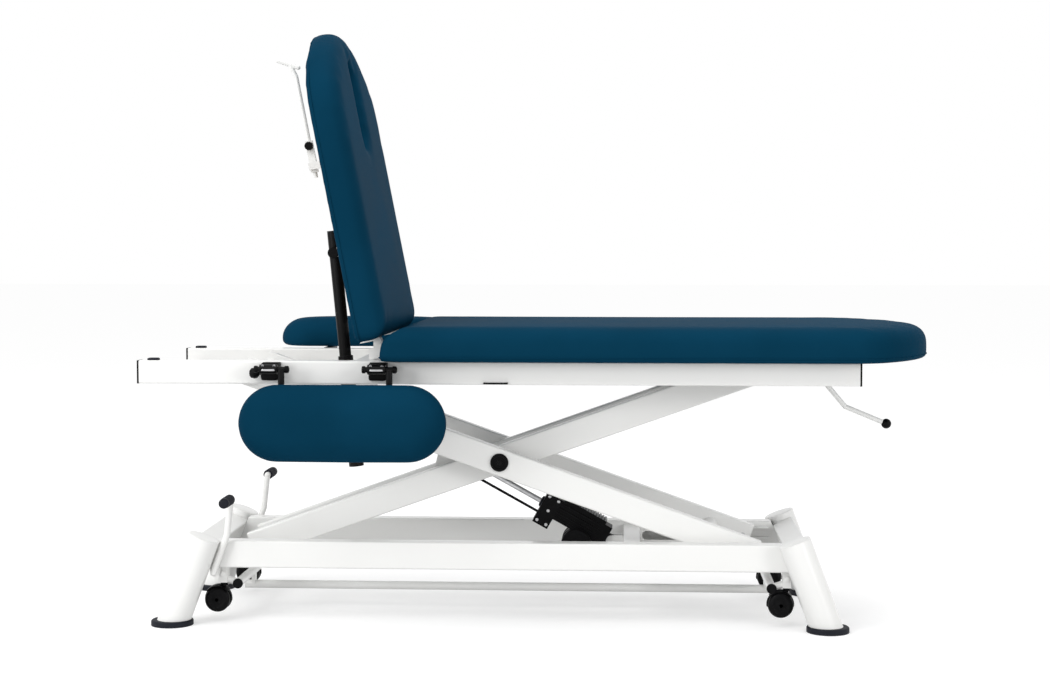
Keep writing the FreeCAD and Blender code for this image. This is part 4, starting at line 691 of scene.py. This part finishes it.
# casters: rounded twin wheels turned as one shape, with a hood over each pair
def casterTrim():
    size = {"trail": 0.013, "height": 0.049, "stems": {"head": -0.608, "foot": 0.628},
            "y": 0.165, "boltHeight": 0.106, "boltOut": 0.012}
    hood = {"radius": 0.0295, "bulge": 0.0014, "half": 0.0165, "start": 38, "end": 142,
            "rows": 26, "columns": 15, "wall": 0.0016, "edge": 0.0005}
    bolt = [(-0.001, 0.0), (-0.001, 0.0075), (0.0010, 0.0075), (0.0010, 0.0056),
            (0.0046, 0.0056), (0.0052, 0.0048), (0.0052, 0.0)]
    half = [(0.0220, 0.0), (0.0220, 0.0070), (0.0214, 0.0080), (0.0210, 0.0150),
            (0.0217, 0.0162), (0.0217, 0.0205), (0.0208, 0.0232), (0.0188, 0.0257),
            (0.0160, 0.0272), (0.0125, 0.0279), (0.0085, 0.0278), (0.0056, 0.0266),
            (0.0042, 0.0240), (0.0040, 0.0100)]
    profile = [(-y, radius) for y, radius in half] + half[::-1]
    for end, stemX in size["stems"].items():
        for side, y in (("near", -size["y"]), ("far", size["y"])):
            tag = "%s_%s" % (end, side)
            hub = np.array([stemX - size["trail"], y, size["height"]])
            out = math.copysign(1, y)
            turned("bracketBolt_" + tag, bolt,
                   (stemX, y + out * size["boltOut"], size["boltHeight"]), (0, out, 0),
                   "carriage", "white", 24)
            wheels = turned("twinWheels_" + tag, profile, hub, (0, 1, 0), "wheels_" + tag,
                            "blackPlastic", 72)
            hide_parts("caster_wheels_" + tag)
            hoodOver(tag, hub, hood)


def hoodOver(tag, hub, hood):
    # hub + radius * (cos, sin) over part of a turn, the radius bulging as 1 - across squared
    angle = np.linspace(math.radians(hood["start"]), math.radians(hood["end"]),
                        hood["rows"])
    across = np.linspace(-1, 1, hood["columns"])
    radius = hood["radius"] + hood["bulge"] * (1 - across ** 2)
    outer = np.stack([
        hub[0] + radius[None, :] * np.cos(angle)[:, None],
        np.broadcast_to(hub[1] + hood["half"] * across[None, :],
                        (hood["rows"], hood["columns"])),
        hub[2] + radius[None, :] * np.sin(angle)[:, None]], axis=-1)
    shell = surface("hood_" + tag, outer, "fork_" + tag, "blackPlastic",
                    closeAcross=False, capEnds=False)
    wall = shell.modifiers.new("wall", "SOLIDIFY")
    wall.thickness = hood["wall"]
    wall.offset = 0
    edge = shell.modifiers.new("edge", "BEVEL")
    edge.width = hood["edge"]
    edge.segments = 2


casterTrim()


# lift motor: ribbed grey strip, casing ribs, a round motor cover and its screws
def driveTrim():
    rear = np.array([0.245, 0, 0.160])
    tip = np.array([-0.125, 0, 0.366])
    along = (tip - rear) / np.linalg.norm(tip - rear)
    up = np.array([along[2], 0, -along[0]])
    cooling = {"count": 15, "start": 0.034, "step": 0.0068, "height": 0.0362,
               "size": (0.0042, 0.054, 0.0050)}
    casing = {"count": 4, "place": 0.098, "y": 0.0285, "top": 0.022, "step": 0.0115,
              "size": (0.125, 0.0030, 0.0034)}
    screws = {"y": 0.0299, "places": ((0.147, 0.022), (0.170, 0.022), (0.147, -0.038),
                                      (0.170, -0.038), (0.158, -0.008))}
    motor = {"along": 0.067, "up": -0.041, "coverY": 0.0400, "bandY": 0.012,
             "bandStep": 0.009, "bands": 3}
    ends = {"wiper": 0.178, "collar": 0.404}
    screwHead = [(0, 0.0), (0, 0.0036), (0.0014, 0.0033), (0.0018, 0.0020), (0.0010, 0.0)]
    cover = [(0, 0.0), (0, 0.0325), (0.0015, 0.0318), (0.0028, 0.0280), (0.0020, 0.0250),
             (0.0032, 0.0215), (0.0032, 0.0090), (0.0016, 0.0075), (0.0016, 0.0)]
    band = [(0, 0.0325), (0.0008, 0.0337), (0.0022, 0.0337), (0.0030, 0.0325)]
    wiper = [(0, 0.0065), (0, 0.0130), (0.004, 0.0126), (0.0055, 0.0085), (0.0055, 0.0065)]
    collar = [(0, 0.0061), (0, 0.0085), (0.006, 0.0085), (0.007, 0.0061)]

    def spot(s, y, t):
        # s along the drive, y across it and t up from its line
        return rear + along * s + up * t + np.array([0, y, 0])

    def bar(name, s, y, t, size, look):
        # a softly rounded bar: a superellipse section carried along the length, and
        # shrunk a little towards both ends
        across, upward = roundedCorners(fullTurn(24), 0.35)
        sectionY = size[1] / 2 * across
        sectionT = size[2] / 2 * upward
        stations = np.array([-0.5, -0.49, -0.46, 0.46, 0.49, 0.5]) * size[0]
        shrink = np.array([0.80, 0.93, 1, 1, 0.93, 0.80])
        grid = np.array([spot(s + dist, y, t) + k * (sectionY[:, None] * np.array([0, 1.0, 0])
                                                      + sectionT[:, None] * up)
                         for dist, k in zip(stations, shrink)])
        surface(name, grid, "housing", look)

    for number in range(cooling["count"]):
        bar("coolingRib%d" % number, cooling["start"] + cooling["step"] * number, 0,
            cooling["height"], cooling["size"], "grey")
    for sign in (-1, 1):
        out = (0, sign, 0)
        for number in range(casing["count"]):
            bar("casingRib%d_%d" % (sign + 1, number), casing["place"], sign * casing["y"],
                casing["top"] - casing["step"] * number, casing["size"], "blackPlastic")
        for number, (s, t) in enumerate(screws["places"]):
            turned("casingScrew%d_%d" % (sign + 1, number), screwHead,
                   spot(s, sign * screws["y"], t), out, "housing", "steel", 16)
        turned("motorCover%d" % (sign + 1), cover,
               spot(motor["along"], sign * motor["coverY"], motor["up"]), out, "housing",
               "blackPlastic", 64)
        for number in range(motor["bands"]):
            y = sign * (motor["bandY"] + motor["bandStep"] * number)
            turned("motorBand%d_%d" % (sign + 1, number), band,
                   spot(motor["along"], y, motor["up"]), out, "housing", "blackPlastic", 64)
    turned("rodWiper", wiper, spot(ends["wiper"], 0, 0), along, "housing", "rubber", 32)
    turned("rodCollar", collar, spot(ends["collar"], 0, 0), along, "rod", "steel", 32)


driveTrim()
print("lift drive dressed")


# a cast clamp cover: superellipse rings along Y that shrink at the front, with a bare
# steel strip of the lock whose brightness also serves as a painted highlight
def clampBody(tag, x, sign):
    size = {"width": 0.038, "top": 0.0135, "bottom": 0.0245, "front": 0.2785,
            "back": 0.2470, "power": 0.22, "sides": 48}
    lock = {"half": 0.0150, "high": 0.0024, "drop": 0.0008, "start": 0.2940,
            "deep": 0.0030}
    angle = fullTurn(size["sides"])
    middle = (size["top"] - size["bottom"]) / 2
    tall = (size["top"] + size["bottom"]) / 2
    across, upward = roundedCorners(angle, size["power"])
    across, upward = size["width"] / 2 * across, tall * upward
    rows = []
    for share, shrink in ((0, 1), (0.90, 1), (0.96, 0.97), (0.99, 0.92), (1, 0.84)):
        y = size["back"] + share * (size["front"] - size["back"])
        rows.append(np.column_stack([x + across * shrink, np.full(size["sides"], sign * y),
                                     armPivotZ + middle + upward * shrink]))
    surface("clampCover" + tag, np.array(rows), "upper_frame", "blackPlastic")
    # the bare steel strip at the shaft's height: partly the shaft's steel, partly a painted
    # highlight on the clamp's front
    across = roundedCorners(angle, 0.3)[0]
    upward = roundedCorners(angle, 0.5)[1]
    strip = []
    for share, shrink in ((0, 1), (0.7, 1), (1, 0.8)):
        y = lock["start"] + share * lock["deep"]
        strip.append(np.column_stack([x + lock["half"] * shrink * across,
                                      np.full(size["sides"], sign * y),
                                      armPivotZ - lock["drop"]
                                      + lock["high"] * shrink * upward]))
    surface("clampHighlightStrip" + tag, np.array(strip), "upper_frame", "steel")


# armrest clamps: screw heads, fluted knobs and the round ends of the shafts
def clampTrim():
    size = {"right": 0.009, "shaft": 0.062, "clampBack": 0.0085, "clampHalf": 0.019,
            "screwX": 0.0125, "screwY": 0.2925, "screwUp": 0.0076, "knobIn": 0.011}
    posts = (armrest["postMiddle"] - armrest["postSpread"],
             armrest["postMiddle"] + armrest["postSpread"])
    shaftEnd = [(-0.002, 0.0), (-0.002, 0.0078), (0.004, 0.0078), (0.006, 0.0066),
                (0.0072, 0.0040), (0.0075, 0.0)]
    shaftCap = [(-0.001, 0.0), (-0.001, 0.0078), (0.004, 0.0080), (0.006, 0.0068),
                (0.0070, 0.0)]
    screw = [(-0.002, 0.0), (-0.002, 0.0030), (0.0010, 0.0030), (0.0018, 0.0022),
             (0.0006, 0.0012), (0.0006, 0.0)]
    grip = [(-0.0108, 0.0), (-0.0100, 0.0062), (-0.0070, 0.0096), (0, 0.0110),
            (0.0060, 0.0098), (0.0095, 0.0064), (0.0104, 0.0040)]
    for sign, tag in ((-1, "Near"), (1, "Far")):
        body = "armrest_near" if sign < 0 else "armrest_far"
        shaftY = sign * armrest["pivotY"]
        for number, postX in enumerate(posts):
            right = postX + size["right"]
            turned("shaftEnd%s%d" % (tag, number), shaftEnd, (right, shaftY, armPivotZ),
                   (1, 0, 0), body, "blackPlastic", 32)
            turned("shaftCap%s%d" % (tag, number), shaftCap,
                   (right - size["shaft"], shaftY, armPivotZ), (-1, 0, 0), body,
                   "blackPlastic", 32)
            clampX = postX - size["clampBack"] - size["clampHalf"]
            for step in (-1, 1):
                turned("clampScrew%s%d_%d" % (tag, number, step + 1), screw,
                       (clampX + step * size["screwX"], sign * size["screwY"],
                        armPivotZ + size["screwUp"]), (0, sign, 0), "upper_frame",
                       "steel", 20)
            clampBody(tag + str(number), clampX, sign)
    for sign, body in ((-1, "knob_near"), (1, "knob_far")):
        low, high = (np.array(corner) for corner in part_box("armrest_knob_near" if sign < 0
                                                           else "armrest_knob_far"))
        middle = (low + high) / 2
        middle[0] = low[0] + size["knobIn"]
        turned("knobGrip%d" % (sign + 1), grip, middle, (1, 0, 0), body, "blackPlastic", 64,
               fluted(0.07, 8))


clampTrim()


# pedal grips with moulded rings, and the lever's and paper holder's ends
def gripTrim():
    grip = {"x": -0.583, "z": 0.276, "start": 0.218, "step": 0.0075, "rings": 7,
            "end": 0.279}
    strutPin = {"x": -0.38287, "y": 0.0262, "z": 0.81175}
    holder = {"along": 0.456, "behind": 0.0886, "side": 0.0084}
    ball = {"radius": 0.0112, "rows": 25}
    ring = [(0, 0.0108), (0.0006, 0.0116), (0.0030, 0.0116), (0.0036, 0.0108)]
    gripEnd = [(-0.001, 0.0), (-0.001, 0.0106), (0.001, 0.0100), (0.0022, 0.0070),
               (0.0026, 0.0)]
    pinCap = [(0, 0.0), (0, 0.0128), (0.0014, 0.0128), (0.0030, 0.0112), (0.0034, 0.0)]
    knobCap = [(0, 0.0), (0, 0.0090), (0.002, 0.0094), (0.009, 0.0094), (0.0115, 0.0080),
               (0.0118, 0.0)]
    for sign in (-1, 1):
        out = (0, sign, 0)
        for number in range(grip["rings"]):
            y = sign * (grip["start"] + grip["step"] * number)
            turned("gripRing%d_%d" % (sign + 1, number), ring,
                   np.array([grip["x"], y, grip["z"]]), out, "pedals", "rubber", 32)
        turned("gripEnd%d" % (sign + 1), gripEnd, (grip["x"], sign * grip["end"], grip["z"]),
               out, "pedals", "rubber", 32)
    for sign in (-1, 1):
        turned("strutPinCap%d" % (sign + 1), pinCap,
               np.array([strutPin["x"], sign * strutPin["y"], strutPin["z"]]), (0, sign, 0),
               "backrest", "blackPlastic", 48)
    hinge, along, out = backAxes()
    knob = hinge + along * holder["along"] - out * holder["behind"]
    turned("holderKnobCap", knobCap, knob + np.array([0, -holder["side"], 0]), (0, -1, 0),
           "holder_knob", "blackPlastic", 60, fluted(0.06, 10))
    low, high = (np.array(corner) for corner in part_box("lever_cap"))
    turn = np.linspace(0, math.pi, ball["rows"])
    profile = np.column_stack([-ball["radius"] * np.cos(turn), ball["radius"] * np.sin(turn)])
    knobBall = turned("leverBall", profile, (low + high) / 2, (0, 1, 0), "foot_lever",
                      "blackPlastic", 48)
    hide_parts("lever_cap")


gripTrim()


# rounded caps at the frame rails' ends: superellipse rings that shrink as they step out
def railTrim():
    size = {"y": 0.226, "halfWide": 0.0195, "halfHigh": 0.0245, "drop": 0.025,
            "end": 0.7745, "power": 0.22, "sides": 48}
    steps = ((0, 1), (0.0010, 1), (0.0019, 0.97), (0.0024, 0.90), (0.0026, 0.4))
    across, upward = roundedCorners(fullTurn(size["sides"]), size["power"])
    for end in (-1, 1):
        for sign in (-1, 1):
            rows = []
            for distance, shrink in steps:
                rows.append(np.column_stack([
                    np.full(size["sides"], end * (size["end"] + distance)),
                    sign * size["y"] + size["halfWide"] * across * shrink,
                    railTop - size["drop"] + size["halfHigh"] * upward * shrink]))
            surface("railEnd%d_%d" % (end + 1, sign + 1), np.array(rows), "upper_frame",
                    "blackPlastic" if end < 0 else "white")


railTrim()


# rubber stops that the lowered backrest rests on, domed over the plain plugs: flat
# superellipse rings that shrink as they rise
def railStops():
    size = {"half": 0.0124, "x": -0.745, "y": 0.226, "sink": 0.0002, "power": 0.5,
            "sides": 48}
    steps = ((0, 1), (0.0030, 1), (0.0042, 0.95), (0.0048, 0.82), (0.0050, 0.3))
    across, upward = roundedCorners(fullTurn(size["sides"]), size["power"])
    for sign in (-1, 1):
        rows = []
        for height, shrink in steps:
            rows.append(np.column_stack([
                size["half"] * shrink * across + size["x"],
                size["half"] * shrink * upward + sign * size["y"],
                np.full(size["sides"], railTop + height - size["sink"])]))
        surface("railStop%d" % (sign + 1), np.array(rows), "upper_frame", "rubber")


railStops()
print("small pieces done")


# floor, backdrop light and lamps
def seenRays(tree):
    # 1 for rays that show the surroundings: camera, glossy and transmission
    path = tree.nodes.new("ShaderNodeLightPath")
    seen = path.outputs["Is Camera Ray"]
    for kind in ("Is Glossy Ray", "Is Transmission Ray"):
        either = tree.nodes.new("ShaderNodeMath")
        either.operation = "MAXIMUM"
        tree.links.new(seen, either.inputs[0])
        tree.links.new(path.outputs[kind], either.inputs[1])
        seen = either.outputs[0]
    return seen


def studio():
    look = {"floor": 0.66, "glow": 0.42, "sky": 0.85, "aim": (0, 0, 0.5)}
    lamps = {  # place, width and power
        "keyLamp": ((-2.4, -2.6, 3.6), 2.6, 70),
        "topLamp": ((0.6, 0.4, 4.0), 3.0, 40),
        "leftLamp": ((-4.3, -4.3, 1.6), 1.8, 70),
        "rightLamp": ((4.6, -4.1, 1.6), 1.8, 70),
    }
    side = 30
    mesh = bpy.data.meshes.new("floor")
    mesh.from_pydata([(-side, -side, 0), (side, -side, 0), (side, side, 0), (-side, side, 0)],
                     [], [(0, 1, 2, 3)])
    floor = bpy.data.objects.new("floor", mesh)
    scene.collection.objects.link(floor)
    material = bpy.data.materials.new("paleFloor")
    material.use_nodes = True
    tree = material.node_tree
    tree.nodes.clear()
    output = tree.nodes.new("ShaderNodeOutputMaterial")
    diffuse = tree.nodes.new("ShaderNodeBsdfDiffuse")
    diffuse.inputs["Color"].default_value = (look["floor"],) * 3 + (1,)
    glow = tree.nodes.new("ShaderNodeEmission")
    strength = tree.nodes.new("ShaderNodeMath")
    strength.operation = "MULTIPLY"
    strength.inputs[1].default_value = look["glow"]
    tree.links.new(seenRays(tree), strength.inputs[0])
    tree.links.new(strength.outputs[0], glow.inputs["Strength"])
    both = tree.nodes.new("ShaderNodeAddShader")
    tree.links.new(diffuse.outputs[0], both.inputs[0])
    tree.links.new(glow.outputs[0], both.inputs[1])
    tree.links.new(both.outputs[0], output.inputs["Surface"])
    mesh.materials.append(material)
    world = bpy.data.worlds.new("studio")
    scene.world = world
    world.use_nodes = True
    sky = world.node_tree
    background = sky.nodes["Background"]
    background.inputs["Color"].default_value = (1, 1, 1, 1)
    wide = sky.nodes.new("ShaderNodeMapRange")
    wide.inputs["To Min"].default_value = look["sky"]
    wide.inputs["To Max"].default_value = 1
    sky.links.new(seenRays(sky), wide.inputs["Value"])
    sky.links.new(wide.outputs["Result"], background.inputs["Strength"])
    for name, (place, width, power) in lamps.items():
        data = bpy.data.lights.new(name, "AREA")
        data.shape = "DISK"
        data.size = width
        data.energy = power
        lamp = bpy.data.objects.new(name, data)
        lamp.location = place
        aim = np.array(look["aim"]) - np.array(place)
        yaw = math.atan2(aim[1], aim[0]) - math.pi / 2
        pitch = math.atan2(aim[2], math.hypot(aim[0], aim[1]))
        lamp.rotation_euler = (pitch + math.pi / 2, 0, yaw)
        scene.collection.objects.link(lamp)


studio()
print("studio done")
